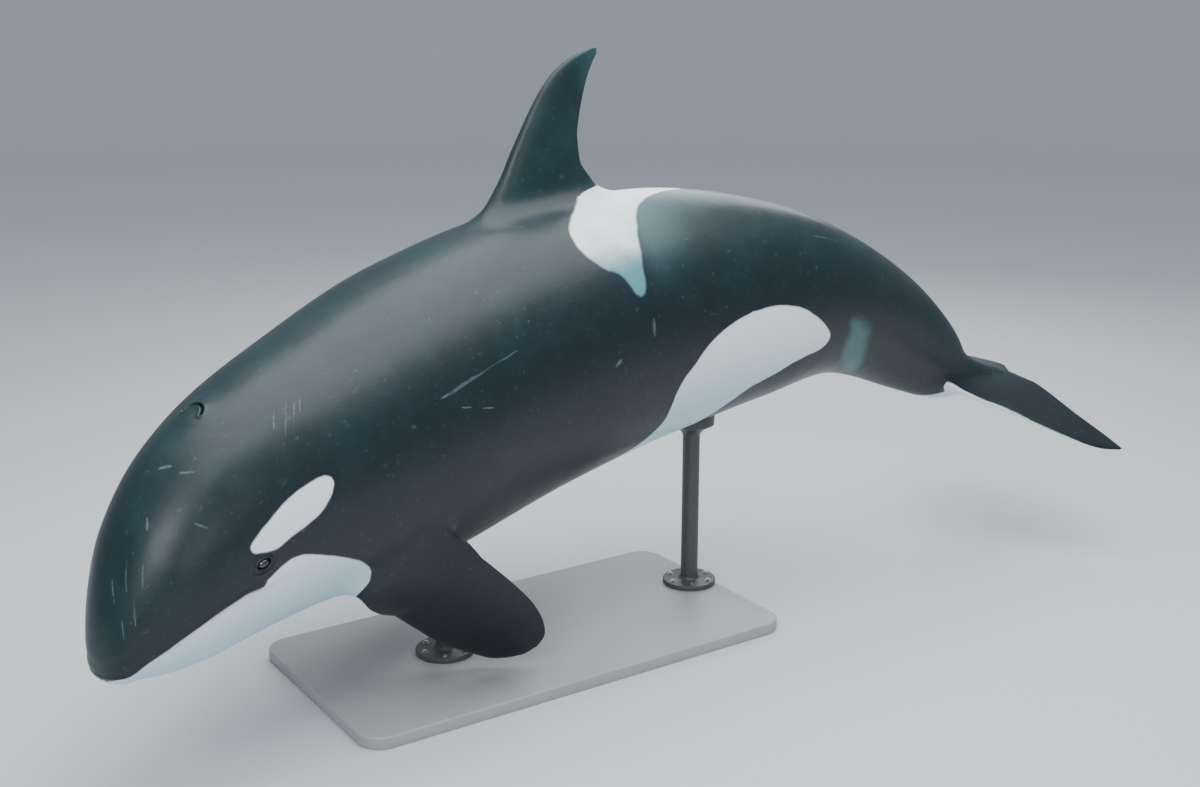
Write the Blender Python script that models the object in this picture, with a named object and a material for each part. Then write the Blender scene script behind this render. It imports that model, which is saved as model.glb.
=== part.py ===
"""Life-size display model of a swimming orca, held over a flat base by two short rods.

The animal is drawn straight first, with x running back from the snout, y to its right and z up.
One spine curve then bends that straight body into its turning, diving pose.
"""
import math

import bmesh
import bpy
import numpy as np

# Overall sizes in metres

GAP = 0.0003
SHARP_ANGLE = math.radians(40)

# Outline of the straight body: distance from the snout, top, underside, half width

PROFILE = (
    (0.00, -0.156, -0.170, 0.010),
    (0.03, -0.064, -0.210, 0.104),
    (0.10, 0.057, -0.251, 0.150),
    (0.20, 0.182, -0.309, 0.206),
    (0.35, 0.315, -0.369, 0.275),
    (0.60, 0.451, -0.433, 0.343),
    (0.90, 0.526, -0.503, 0.418),
    (1.30, 0.576, -0.610, 0.495),
    (1.90, 0.661, -0.679, 0.559),
    (2.50, 0.694, -0.657, 0.566),
    (3.20, 0.660, -0.605, 0.498),
    (3.90, 0.542, -0.488, 0.381),
    (4.50, 0.401, -0.312, 0.250),
    (5.00, 0.304, -0.243, 0.146),
    (5.30, 0.226, -0.172, 0.098),
    (5.50, 0.138, -0.108, 0.078),
    (5.70, 0.056, -0.050, 0.056),
    (5.80, 0.027, -0.025, 0.038),
    (5.87, 0.010, -0.010, 0.018),
)
SNOUT_ROUNDING = 0.03
KEEL_START = 3.9
KEEL_FULL = 5.0
KEEL_PINCH = 0.35

# Ends of the body's pieces, measured along the straight body

HEAD_END = 1.06
TRUNK_FRONT_END = 2.15
TRUNK_MIDDLE_END = 3.36
TRUNK_REAR_END = 4.45
TAIL_END = 5.87

# Bend of the spine, as distance from the snout and turn per metre in radians

SPINE_ANCHOR = 2.7
DOWN_BEND = ((0.0, 0.0), (1.0, 0.164), (2.2, -0.014), (3.4, 0.23), (4.5, 0.51), (5.1, 0.235),
             (5.2, 0.0), (5.42, -2.565), (5.64, 0.0), (6.4, 0.0))
SIDE_BEND = ((0.0, 0.0), (1.0, -0.068), (2.5, -0.338), (4.0, 0.117), (5.5, -0.064))
TAIL_TWIST = ((3.6, 0.0), (5.5, 0.177))

# Stance of the whole animal over its base

TRUNK_CLIMB = math.radians(9.8)
TRUNK_BANK = math.radians(0.0)
ANCHOR_POINT = (0.23, 0.12, 1.45)

# Mouth, eyes and blowhole on the straight body

MOUTH_LINE = ((-0.06, -0.163), (0.03, -0.163), (0.10, -0.150), (0.25, -0.122),
              (0.40, -0.104), (0.50, -0.105), (0.58, -0.124))
JAW_BACK = ((0.62, -0.17), (0.70, -0.30), (0.78, -0.46), (0.84, -0.70))
JAW_TUCK = 0.010
LIP_GROOVE = 0.008
EYE_X = 0.607
EYE_Z = -0.023
EYE_RADII = (0.027, 0.022, 0.019)
EYE_SINK = 0.013
LID_RADII = (0.031, 0.019)
LID_TUBE = 0.0085
LID_SINK = 0.002
BLOWHOLE_X = 0.80
BLOWHOLE_Y = -0.015
BLOWHOLE_RADIUS = 0.050
BLOWHOLE_SPREAD = math.radians(78)
BLOWHOLE_MOUND = (0.115, 0.095, 0.016)
BLOWHOLE_SINK = 0.004
BLOWHOLE_TILT = 0.32
BLOWHOLE_RISE = 0.012
SLIT_WIDTH = 0.006
SLIT_DEPTH = 0.020
SLIT_REACH = 0.03

# Back fin: height above the spine line, front edge, rear edge, half thickness

DORSAL_FIN = (
    (0.560, 2.300, 3.140, 0.115),
    (0.700, 2.400, 3.070, 0.080),
    (0.770, 2.490, 3.006, 0.062),
    (0.860, 2.574, 2.970, 0.050),
    (0.960, 2.645, 2.972, 0.043),
    (1.060, 2.718, 2.993, 0.037),
    (1.150, 2.784, 3.020, 0.031),
    (1.230, 2.850, 3.049, 0.025),
    (1.295, 2.925, 3.080, 0.019),
    (1.335, 3.000, 3.100, 0.013),
    (1.352, 3.060, 3.100, 0.007),
)

# Flipper: share of its length, front edge and rear edge as shares of its width, half thickness

FLIPPER = (
    (0.00, -0.405, 0.34, 0.060),
    (0.12, -0.435, 0.475, 0.050),
    (0.28, -0.470, 0.52, 0.041),
    (0.44, -0.48, 0.51, 0.034),
    (0.60, -0.485, 0.495, 0.028),
    (0.74, -0.450, 0.470, 0.022),
    (0.86, -0.370, 0.410, 0.017),
    (0.94, -0.300, 0.335, 0.012),
    (0.99, -0.190, 0.250, 0.008),
    (1.02, -0.07, 0.13, 0.005),
)
FLIPPER_LENGTH = 1.0
FLIPPER_WIDTH = 0.55
FLIPPER_X = 1.24
FLIPPER_LEVEL = math.radians(-48)
FLIPPER_SINK = 0.90
FLIPPER_SWEEP = 1.45
FLIPPER_DROP = {"left": 0.83, "right": 0.55}
FLIPPER_TURN_ROOT = 0.30
FLIPPER_TURN_TIP = 0.95
FLIPPER_TURN_END = 0.35
FLIPPER_CURL = 0.056

# Tail fluke: distance out from the middle, front edge, rear edge, half thickness

FLUKE = (
    (0.000, 5.100, 5.902, 0.052),
    (0.055, 5.215, 5.938, 0.049),
    (0.110, 5.320, 5.968, 0.044),
    (0.190, 5.450, 5.998, 0.037),
    (0.280, 5.560, 6.024, 0.031),
    (0.380, 5.672, 6.055, 0.025),
    (0.480, 5.780, 6.098, 0.020),
    (0.560, 5.876, 6.140, 0.015),
    (0.622, 5.968, 6.170, 0.011),
    (0.662, 6.058, 6.190, 0.008),
    (0.680, 6.155, 6.198, 0.005),
)
FLUKE_DROOP = -0.211
FLUKE_CURL = -0.17

# Display stand

BASE_LENGTH = 2.3
BASE_WIDTH = 1.2
BASE_THICKNESS = 0.06
BASE_CORNER = 0.12
BASE_EDGE = 0.008
ROD_RADIUS = 0.045
FOOT_RADIUS = 0.14
FOOT_THICKNESS = 0.025
CUP_RADIUS = 0.12
CUP_DEPTH = 0.10
CUP_OVERLAP = 0.08
ROD_PLACES = {"front": 1.86, "rear": 3.50}
ROD_SIDES = 28

# Mesh fineness

SNOUT_CAP = 0.0012
FOREHEAD = 0.28
RING_POINTS = 40
FIN_POINTS = 9
GROOVE_POINTS = 45
TUBE_SIDES = 8
LID_POINTS = 22
LID_SIDES = 8
TRUNK_SPACING = 0.135
REAR_SPACING = 0.11
STOCK_SPACING = 0.08


def clear_scene():
    for item in list(bpy.data.objects):
        bpy.data.objects.remove(item, do_unlink=True)


# Smooth curves through named stations

def smooth_table(knots, values, where):
    """Cubic curve through the stations that never overshoots between two of them."""
    knots = np.asarray(knots, float)
    values = np.asarray(values, float)
    step = np.diff(knots)
    slope = np.diff(values) / step
    lean = np.zeros_like(values)
    same_way = slope[1:] * slope[:-1] > 0
    before = 2 * step[1:] + step[:-1]
    after = step[1:] + 2 * step[:-1]
    safe = np.where(same_way, slope[:-1] * slope[1:], 1.0)
    blend = (before + after) * safe / (before * slope[1:] + after * slope[:-1] + 1e-30)
    lean[1:-1] = np.where(same_way, blend, 0.0)
    lean[0] = slope[0]
    lean[-1] = slope[-1]
    where = np.clip(np.asarray(where, float), knots[0], knots[-1])
    cell = np.clip(np.searchsorted(knots, where) - 1, 0, len(step) - 1)
    wide = step[cell]
    part = (where - knots[cell]) / wide
    part2 = part * part
    part3 = part2 * part
    return ((2 * part3 - 3 * part2 + 1) * values[cell]
            + (part3 - 2 * part2 + part) * wide * lean[cell]
            + (3 * part2 - 2 * part3) * values[cell + 1]
            + (part3 - part2) * wide * lean[cell + 1])


def snout_reach(x):
    """Distance from the snout, stretched near its tip so that the outline there is round."""
    x = np.maximum(np.asarray(x, float), 0.0)
    return np.sqrt(x * (x + 2 * SNOUT_ROUNDING))


def snout_distance(reach):
    return np.sqrt(reach * reach + SNOUT_ROUNDING ** 2) - SNOUT_ROUNDING


def profile_curve(index, x):
    stations = np.array(PROFILE)
    return smooth_table(snout_reach(stations[:, 0]), stations[:, index], snout_reach(x))


def body_top(x):
    return profile_curve(1, x)


def body_bottom(x):
    return profile_curve(2, x)


def body_width(x):
    return profile_curve(3, x)


def keel_pinch(x):
    """How much the sides draw in towards the keels of the tail stock."""
    share = np.clip((np.asarray(x) - KEEL_START) / (KEEL_FULL - KEEL_START), 0.0, 1.0)
    return KEEL_PINCH * share * share * (3 - 2 * share)


def body_point(x, angle):
    """Point on the straight body; angle 0 is the right side, a quarter turn is the top."""
    top = body_top(x)
    bottom = body_bottom(x)
    middle = 0.5 * (top + bottom)
    half = 0.5 * (top - bottom)
    across = np.cos(angle)
    narrowed = across * np.abs(across) ** keel_pinch(x)
    across = body_width(x) * narrowed
    return np.stack(np.broadcast_arrays(x, across, middle + half * np.sin(angle)), -1)


# The spine curve and the stance

def spine_frames():
    """Centre line and its side and up directions, sampled every centimetre."""
    along = np.linspace(-0.5, 7.0, 751)
    step = along[1] - along[0]
    anchor = int(np.argmin(np.abs(along - SPINE_ANCHOR)))
    down = np.cumsum(np.interp(along, *zip(*DOWN_BEND))) * step
    turn = np.cumsum(np.interp(along, *zip(*SIDE_BEND))) * step
    down = down - down[anchor]
    turn = turn - turn[anchor]
    roll = np.interp(along, *zip(*TAIL_TWIST))
    tangent = np.stack([np.cos(down) * np.cos(turn), np.cos(down) * np.sin(turn), -np.sin(down)], -1)
    level = np.stack([-np.sin(turn), np.cos(turn), 0 * turn], -1)
    raised = np.cross(tangent, level)
    side = level * np.cos(roll)[:, None] + raised * np.sin(roll)[:, None]
    up = raised * np.cos(roll)[:, None] - level * np.sin(roll)[:, None]
    centre = np.cumsum(tangent, axis=0) * step
    centre = centre - centre[anchor]
    return along, centre, side, up


SPINE = spine_frames()


def stance_matrix():
    """Turns the trunk so that the tail climbs and the body banks by the named angles."""
    climb = TRUNK_CLIMB
    bank = TRUNK_BANK
    pitch = np.array([[math.cos(climb), 0, -math.sin(climb)],
                      [0, 1, 0],
                      [math.sin(climb), 0, math.cos(climb)]])
    roll = np.array([[1, 0, 0],
                     [0, math.cos(bank), -math.sin(bank)],
                     [0, math.sin(bank), math.cos(bank)]])
    return pitch @ roll


STANCE = stance_matrix()


def pose(points):
    """Straight-body points carried along the spine curve and set over the base."""
    points = np.asarray(points, float)
    along, centre, side, up = SPINE

    def at(table):
        return np.stack([np.interp(points[..., 0], along, table[:, axis]) for axis in range(3)], -1)

    bent = at(centre) + at(side) * points[..., 1:2] + at(up) * points[..., 2:3]
    return bent @ STANCE.T + np.array(ANCHOR_POINT)


# Mesh helpers

def make_material(name, colour, roughness, metallic=0.0):
    material = bpy.data.materials.new(name)
    material.use_nodes = True
    shader = material.node_tree.nodes["Principled BSDF"]
    shader.inputs["Base Color"].default_value = (*colour, 1.0)
    shader.inputs["Roughness"].default_value = roughness
    shader.inputs["Metallic"].default_value = metallic
    return material


def make_object(name, vertices, faces, material=None):
    mesh = bpy.data.meshes.new(name)
    mesh.from_pydata([tuple(v) for v in vertices], [], faces)
    mesh.update()
    item = bpy.data.objects.new(name, mesh)
    bpy.context.scene.collection.objects.link(item)
    if material is not None:
        mesh.materials.append(material)
    face_outwards(item)
    mesh.shade_smooth()
    mesh.set_sharp_from_angle(angle=SHARP_ANGLE)
    return item


def face_outwards(item):
    work = bmesh.new()
    work.from_mesh(item.data)
    bmesh.ops.recalc_face_normals(work, faces=work.faces)
    if work.calc_volume(signed=True) < 0:
        bmesh.ops.reverse_faces(work, faces=work.faces)
    work.to_mesh(item.data)
    work.free()


def loft(rings):
    """Vertices and faces of a closed skin over rings of equal point counts."""
    count = len(rings[0])
    vertices = [point for ring in rings for point in ring]
    faces = []
    for row in range(len(rings) - 1):
        for step in range(count):
            here = row * count + step
            beside = row * count + (step + 1) % count
            faces.append((here, beside, beside + count))
            faces.append((here, beside + count, here + count))
    faces.append(tuple(range(count - 1, -1, -1)))
    last = (len(rings) - 1) * count
    faces.append(tuple(range(last, last + count)))
    return vertices, faces


def keep_largest(item):
    """Drops loose scraps, so that the piece is one closed surface."""
    work = bmesh.new()
    work.from_mesh(item.data)
    bmesh.ops.remove_doubles(work, verts=work.verts, dist=0.00002)
    bmesh.ops.dissolve_degenerate(work, edges=work.edges, dist=0.00001)
    left = set(work.faces)
    groups = []
    while left:
        stack = [left.pop()]
        group = list(stack)
        while stack:
            face = stack.pop()
            for edge in face.edges:
                for other in edge.link_faces:
                    if other in left:
                        left.remove(other)
                        stack.append(other)
                        group.append(other)
        groups.append(group)
    groups.sort(key=lambda group: sum(face.calc_area() for face in group))
    for group in groups[:-1]:
        bmesh.ops.delete(work, geom=group, context="FACES")
    work.to_mesh(item.data)
    work.free()


def combine(item, tools, operation):
    """Boolean of an object with a list of closed tool objects, which are removed after."""
    group = bpy.data.collections.new("tools")
    bpy.context.scene.collection.children.link(group)
    for tool in tools:
        group.objects.link(tool)
    change = item.modifiers.new("shape", "BOOLEAN")
    change.operation = operation
    change.solver = "EXACT"
    change.operand_type = "COLLECTION"
    change.collection = group
    ready = item.evaluated_get(bpy.context.evaluated_depsgraph_get())
    result = bpy.data.meshes.new_from_object(ready)
    item.modifiers.clear()
    item.data = result
    for tool in tools:
        bpy.data.objects.remove(tool, do_unlink=True)
    bpy.data.collections.remove(group)
    keep_largest(item)
    result.shade_smooth()
    result.set_sharp_from_angle(angle=SHARP_ANGLE)


def grown_copy(item):
    """A copy whose every face lies a gap's width outside the original's."""
    work = bmesh.new()
    work.from_mesh(item.data)
    shifts = [vertex.normal * min(vertex.calc_shell_factor(), 2.5) * GAP for vertex in work.verts]
    for vertex, shift in zip(work.verts, shifts):
        vertex.co += shift
    mesh = bpy.data.meshes.new("grown")
    work.to_mesh(mesh)
    work.free()
    copy = bpy.data.objects.new("grown", mesh)
    bpy.context.scene.collection.objects.link(copy)
    return copy


# Body pieces

def body_rings(places, tuck=0.0):
    angles = np.linspace(0.0, 2 * math.pi, RING_POINTS, endpoint=False)
    rings = []
    for x in places:
        ring = body_point(np.full(RING_POINTS, x), angles)
        if tuck:
            below = np.clip(-np.sin(angles) + 0.25, 0.0, 1.0)
            ring[:, 1] *= 1.0 - tuck * below / max(float(body_width(x)), 0.05)
        rings.append(pose(ring))
    return rings


def even_places(start, end, spacing):
    count = max(2, int(round((end - start) / spacing)) + 1)
    return np.linspace(start + GAP / 2, end - GAP / 2, count)


def body_piece(name, start, end, spacing, material):
    vertices, faces = loft(body_rings(even_places(start, end, spacing)))
    return make_object(name, vertices, faces, material)


def head_places():
    """Rings crowd together towards the blunt snout."""
    front = snout_distance(np.linspace(snout_reach(SNOUT_CAP), snout_reach(FOREHEAD), 9))
    back = np.linspace(FOREHEAD, HEAD_END - GAP / 2, 13)
    return np.concatenate([front, back[1:]])


def head_blank(name, material, tuck=0.0):
    vertices, faces = loft(body_rings(head_places(), tuck))
    return make_object(name, vertices, faces, material)


def jaw_block(clearance):
    """Closed block that fills the space below the mouth line and ahead of the throat."""
    reach = 0.75
    line = [(x, z + clearance) for x, z in MOUTH_LINE]
    back = [(x + clearance, z) for x, z in JAW_BACK]
    outline = line + back + [(-0.06, JAW_BACK[-1][1])]
    sides = []
    for y in np.linspace(-reach, reach, 7):
        sides.append([(x, y, z) for x, z in outline])
    vertices, faces = loft([pose(ring) for ring in sides])
    return make_object("jaw_block", vertices, faces)


def tube(path, radius):
    """Closed round tube along a list of points."""
    path = np.asarray(path, float)
    ahead = np.gradient(path, axis=0)
    ahead /= np.linalg.norm(ahead, axis=1, keepdims=True)
    rings = []
    for point, direction in zip(path, ahead):
        upward = np.array([0.0, 0.0, 1.0])
        across = np.cross(direction, upward)
        across /= np.linalg.norm(across)
        over = np.cross(across, direction)
        turn = np.linspace(0, 2 * math.pi, TUBE_SIDES, endpoint=False)
        rings.append(point + radius * (np.cos(turn)[:, None] * across + np.sin(turn)[:, None] * over))
    vertices, faces = loft(rings)
    return make_object("tube", vertices, faces)


def mouth_path():
    """The mouth line on the skin, from the right corner round the snout to the left one."""
    knots = [p[0] for p in MOUTH_LINE]
    heights = [p[1] for p in MOUTH_LINE]
    xs = np.linspace(SNOUT_CAP, MOUTH_LINE[-1][0], 4000)
    zs = smooth_table(knots, heights, xs)
    top = body_top(xs)
    bottom = body_bottom(xs)
    rise = (zs - 0.5 * (top + bottom)) / (0.5 * (top - bottom))
    inside = np.abs(rise) < 0.999
    xs = xs[inside]
    zs = zs[inside]
    ys = body_width(xs) * np.sqrt(1 - rise[inside] ** 2)
    line = np.stack([xs, ys, zs], -1)
    both = np.concatenate([line[::-1], line * np.array([1, -1, 1])])
    far = np.concatenate([[0], np.cumsum(np.linalg.norm(np.diff(both, axis=0), axis=1))])
    marks = np.linspace(0, far[-1], GROOVE_POINTS)
    return np.stack([np.interp(marks, far, both[:, axis]) for axis in range(3)], -1)


def surface_frame(x, z, side):
    """Skin point at a distance and height on one side, with its back, out and up directions."""
    top = float(body_top(x))
    bottom = float(body_bottom(x))
    angle = math.asin((z - 0.5 * (top + bottom)) / (0.5 * (top - bottom)))
    if side < 0:
        angle = math.pi - angle
    small = 0.002
    here = pose(body_point(np.array([x]), np.array([angle])))[0]
    further = pose(body_point(np.array([x + small]), np.array([angle])))[0]
    round_it = pose(body_point(np.array([x]), np.array([angle + small * side])))[0]
    back = (further - here) / np.linalg.norm(further - here)
    up = round_it - here
    up -= back * (up @ back)
    up /= np.linalg.norm(up)
    out = np.cross(back, up) * -1.0
    if out @ (here - pose(np.array([x, 0.0, 0.0]))) < 0:
        out = -out
    return here, back, out, up


def ellipsoid(name, centre, axes, radii, material=None):
    work = bmesh.new()
    bmesh.ops.create_icosphere(work, subdivisions=3, radius=1.0)
    spread = np.array([np.array(vertex.co) for vertex in work.verts])
    faces = [tuple(vertex.index for vertex in face.verts) for face in work.faces]
    work.free()
    vertices = centre + (spread * np.array(radii)) @ np.array(axes)
    return make_object(name, vertices, faces, material)


def lid_ring(centre, back, out, up):
    """The rounded rim of both eyelids, lying on the skin."""
    vertices = []
    faces = []
    for step in range(LID_POINTS):
        turn = 2 * math.pi * step / LID_POINTS
        spoke = back * math.cos(turn) * LID_RADII[0] + up * math.sin(turn) * LID_RADII[1]
        direction = spoke / np.linalg.norm(spoke)
        for part in range(LID_SIDES):
            tilt = 2 * math.pi * part / LID_SIDES
            offset = (direction * math.cos(tilt) + out * math.sin(tilt)) * LID_TUBE
            vertices.append(centre + spoke + offset)
    for step in range(LID_POINTS):
        following = (step + 1) % LID_POINTS
        for part in range(LID_SIDES):
            beside = (part + 1) % LID_SIDES
            faces.append((step * LID_SIDES + part, step * LID_SIDES + beside,
                          following * LID_SIDES + beside, following * LID_SIDES + part))
    return make_object("lids", vertices, faces)


def slit_cutter(path, normal):
    """A thin curved blade that cuts the blowhole's slit into the skin."""
    path = np.asarray(path)
    ahead = np.gradient(path, axis=0)
    rings = []
    for point, direction in zip(path, ahead):
        across = np.cross(normal, direction)
        across *= SLIT_WIDTH / np.linalg.norm(across)
        high = point + normal * SLIT_REACH
        low = point - normal * SLIT_DEPTH
        rings.append([high + across, high - across, low - across * 0.3, low + across * 0.3])
    vertices, faces = loft(rings)
    return make_object("blade", vertices, faces)


def eye_place(side):
    """Skin point over the eye, the ball's centre and its back, out and up directions."""
    point, back, out, up = surface_frame(EYE_X, EYE_Z, side)
    return point, point - out * EYE_SINK, (back, out, up)


def blowhole_place():
    """Centre of the blowhole's mound and its back, right and up directions."""
    middle = body_point(np.array([BLOWHOLE_X]), np.array([math.pi / 2]))[0]
    middle = middle + np.array([0.0, BLOWHOLE_Y, -BLOWHOLE_SINK])
    centre, behind, beside = pose(middle + np.array([[0.0, 0.0, 0.0], [1.0, 0.0, BLOWHOLE_TILT],
                                                     [0.0, 1.0, 0.0]]) * BLOWHOLE_RADIUS)
    back = (behind - centre) / np.linalg.norm(behind - centre)
    right = (beside - centre) / np.linalg.norm(beside - centre)
    return centre, (back, right, np.cross(back, right))


def blowhole_slit():
    """The crescent slit, its open side towards the snout."""
    centre, (back, right, up) = blowhole_place()
    path = []
    for turn in np.linspace(-BLOWHOLE_SPREAD, BLOWHOLE_SPREAD, 15):
        behind = BLOWHOLE_RADIUS * (math.cos(turn) - 0.5)
        path.append(centre + up * BLOWHOLE_RISE + back * behind + right * BLOWHOLE_RADIUS * math.sin(turn))
    return slit_cutter(path, up)


def make_head(skin, jaw_skin, eye_material):
    """Head and lower jaw with lips, lids, eyes and blowhole."""
    head = head_blank("head", skin)
    combine(head, [jaw_block(GAP)], "DIFFERENCE")
    jaw = head_blank("lower_jaw", jaw_skin, JAW_TUCK)
    combine(jaw, [jaw_block(0.0)], "INTERSECT")
    combine(head, [tube(pose(mouth_path()), LIP_GROOVE)], "DIFFERENCE")

    raised = []
    sunk = [blowhole_slit()]
    for side, label in ((1, "right"), (-1, "left")):
        point, ball, axes = eye_place(side)
        raised.append(lid_ring(point - axes[1] * LID_SINK, *axes))
        sunk.append(ellipsoid("socket", ball, axes, np.array(EYE_RADII) + GAP))
        ellipsoid("eye_" + label, ball, axes, EYE_RADII, eye_material)
    centre, axes = blowhole_place()
    raised.append(ellipsoid("mound", centre, axes, BLOWHOLE_MOUND))
    combine(head, raised, "UNION")
    combine(head, sunk, "DIFFERENCE")


# Fins

def wing_section(front, rear, half_thickness):
    """Closed outline from the front edge over one face to the rear edge and back."""
    share = (1 - np.cos(np.linspace(0, math.pi, FIN_POINTS))) / 2
    shape = 2.6 * (0.55 * np.sqrt(share) - 0.25 * share - 0.30 * share ** 2) + 0.06 * share
    shape = np.maximum(shape, 0.0) / shape.max()
    thickness = half_thickness * shape
    thickness[-1] = min(0.0012, half_thickness * 0.3)
    along = front + (rear - front) * share
    upper = np.stack([along[1:], thickness[1:]], -1)
    lower = np.stack([along[:0:-1], -thickness[:0:-1]], -1)
    return np.concatenate([[[front, 0.0]], upper, lower])


def fin_faces(rows, count):
    """Triangles of a lofted fin, split the same way on both of its faces."""
    faces = []
    half = count // 2
    for row in range(rows - 1):
        for step in range(count):
            here = row * count + step
            beside = row * count + (step + 1) % count
            over = here + count
            across = beside + count
            if step <= half:
                faces.append((here, beside, across))
                faces.append((here, across, over))
            else:
                faces.append((here, beside, over))
                faces.append((beside, across, over))
    for row in (0, rows - 1):
        first = row * count
        for step in range(1, half + 1):
            low = first + count - step
            high = first + step
            next_low = first + count - step - 1
            next_high = first + step + 1
            if step == 1:
                faces.append((first, high, low) if row else (first, low, high))
            if next_high < next_low:
                quads = ((low, high, next_high), (low, next_high, next_low))
                for triangle in quads:
                    faces.append(triangle if row else triangle[::-1])
            elif next_high == next_low:
                faces.append((low, high, next_high) if row else (next_high, high, low))
    return faces


def fin_object(name, sections, material):
    count = len(sections[0])
    vertices = [point for section in sections for point in section]
    return make_object(name, vertices, fin_faces(len(sections), count), material)


def make_dorsal_fin(material, carrier):
    sections = []
    for height, front, rear, half in DORSAL_FIN:
        flat = wing_section(front, rear, half)
        sections.append(pose(np.stack([flat[:, 0], flat[:, 1], np.full(len(flat), height)], -1)))
    fin = fin_object("dorsal_fin", sections, material)
    combine(fin, [grown_copy(carrier)], "DIFFERENCE")


def flipper_frame(turn, side, drop):
    """Directions of the flipper: along its length, across its width, and through it."""
    span = np.array([math.sin(FLIPPER_SWEEP) * math.cos(drop),
                     side * math.cos(FLIPPER_SWEEP) * math.cos(drop),
                     -math.sin(drop)])
    chord = np.array([1.0, 0.0, 0.0]) - span * span[0]
    chord /= np.linalg.norm(chord)
    through = np.cross(chord, span) * side
    turned = chord * math.cos(turn) + through * math.sin(turn)
    return span, turned, np.cross(turned, span) * side


def make_flipper(side, label, material, carrier):
    root = body_point(np.array([FLIPPER_X]), np.array([FLIPPER_LEVEL]))[0]
    root = root * np.array([1, side * FLIPPER_SINK, FLIPPER_SINK])
    sections = []
    for share, front, rear, half in FLIPPER:
        twist = min(1.0, share / FLIPPER_TURN_END)
        turn = FLIPPER_TURN_ROOT + (FLIPPER_TURN_TIP - FLIPPER_TURN_ROOT) * twist
        span, chord, through = flipper_frame(turn, side, FLIPPER_DROP[label])
        flat = wing_section(front * FLIPPER_WIDTH, rear * FLIPPER_WIDTH, half)
        centre = root + span * (share * FLIPPER_LENGTH) + through * (FLIPPER_CURL * share ** 2)
        sections.append(pose(centre + flat[:, :1] * chord + flat[:, 1:] * through))
    fin = fin_object("flipper_" + label, sections, material)
    combine(fin, [grown_copy(carrier)], "DIFFERENCE")


def make_fluke(side, label, material, carrier):
    sections = []
    for out, front, rear, half in FLUKE:
        flat = wing_section(front, rear, half)
        level = FLUKE_DROOP * out + FLUKE_CURL * out * out
        y = np.full(len(flat), side * (out + GAP))
        sections.append(pose(np.stack([flat[:, 0], y, flat[:, 1] + level], -1)))
    fin = fin_object("fluke_" + label, sections, material)
    combine(fin, [grown_copy(carrier)], "DIFFERENCE")


# Stand

def make_base(material):
    """Flat plate with rounded corners and a small chamfer round its top edge."""
    corners = []
    for sign_x, sign_y, first in ((1, 1, 0.0), (-1, 1, 0.5), (-1, -1, 1.0), (1, -1, 1.5)):
        for step in range(7):
            turn = math.pi * (first + 0.5 * step / 6)
            corners.append((sign_x, sign_y, math.cos(turn), math.sin(turn)))
    rings = []
    for z, inset in ((0.0, 0.0), (BASE_THICKNESS - BASE_EDGE, 0.0), (BASE_THICKNESS, BASE_EDGE)):
        radius = BASE_CORNER - inset
        ring = []
        for sign_x, sign_y, across, along in corners:
            x = sign_x * (BASE_LENGTH / 2 - BASE_CORNER) + radius * across
            y = sign_y * (BASE_WIDTH / 2 - BASE_CORNER) + radius * along
            ring.append((x, y, z))
        rings.append(ring)
    vertices, faces = loft(rings)
    make_object("stand_base", vertices, faces, material)


def make_rod(label, material, carrier):
    """Turned rod with a round foot below and a cup that opens up to the belly."""
    place = ROD_PLACES[label]
    x, y, belly = pose(np.array([place, 0.0, float(body_bottom(place))]))
    foot = BASE_THICKNESS + GAP
    outline = [(foot, FOOT_RADIUS), (foot + FOOT_THICKNESS * 0.75, FOOT_RADIUS),
               (foot + FOOT_THICKNESS, FOOT_RADIUS - FOOT_THICKNESS * 0.25),
               (foot + FOOT_THICKNESS, ROD_RADIUS + 0.020),
               (foot + FOOT_THICKNESS + 0.006, ROD_RADIUS + 0.007),
               (foot + FOOT_THICKNESS + 0.020, ROD_RADIUS)]
    for step in range(7):
        share = step / 6
        flare = ROD_RADIUS + (CUP_RADIUS - ROD_RADIUS) * share ** 2
        outline.append((belly - CUP_DEPTH + share * CUP_DEPTH, flare))
    outline.append((belly + CUP_OVERLAP, CUP_RADIUS))
    rings = []
    for z, radius in outline:
        turn = np.linspace(0, 2 * math.pi, ROD_SIDES, endpoint=False)
        rings.append(np.stack([x + radius * np.cos(turn), y + radius * np.sin(turn),
                               np.full(ROD_SIDES, z)], -1))
    vertices, faces = loft(rings)
    rod = make_object("stand_rod_" + label, vertices, faces, material)
    combine(rod, [grown_copy(carrier)], "DIFFERENCE")


def build():
    clear_scene()
    skin = make_material("dark_skin", (0.018, 0.026, 0.032), 0.35)
    pale = make_material("white_skin", (0.78, 0.80, 0.80), 0.38)
    eye = make_material("eye", (0.02, 0.015, 0.012), 0.08)
    steel = make_material("painted_steel", (0.09, 0.095, 0.10), 0.45)
    plinth = make_material("plinth", (0.30, 0.30, 0.31), 0.5)

    make_head(skin, pale, eye)
    front = body_piece("trunk_front", HEAD_END, TRUNK_FRONT_END, TRUNK_SPACING, skin)
    middle = body_piece("trunk_middle", TRUNK_FRONT_END, TRUNK_MIDDLE_END, TRUNK_SPACING, skin)
    rear = body_piece("trunk_rear", TRUNK_MIDDLE_END, TRUNK_REAR_END, REAR_SPACING, skin)
    tail = body_piece("tail_stock", TRUNK_REAR_END, TAIL_END, STOCK_SPACING, skin)
    make_dorsal_fin(skin, middle)
    for side, label in ((1, "right"), (-1, "left")):
        make_flipper(side, label, skin, front)
        make_fluke(side, label, skin, tail)
    make_base(plinth)
    make_rod("front", steel, front)
    make_rod("rear", steel, rear)


build()
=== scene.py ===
import math

import bmesh
import bpy
import numpy as np
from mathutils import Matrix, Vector
from mathutils.bvhtree import BVHTree
from mathutils.kdtree import KDTree


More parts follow.
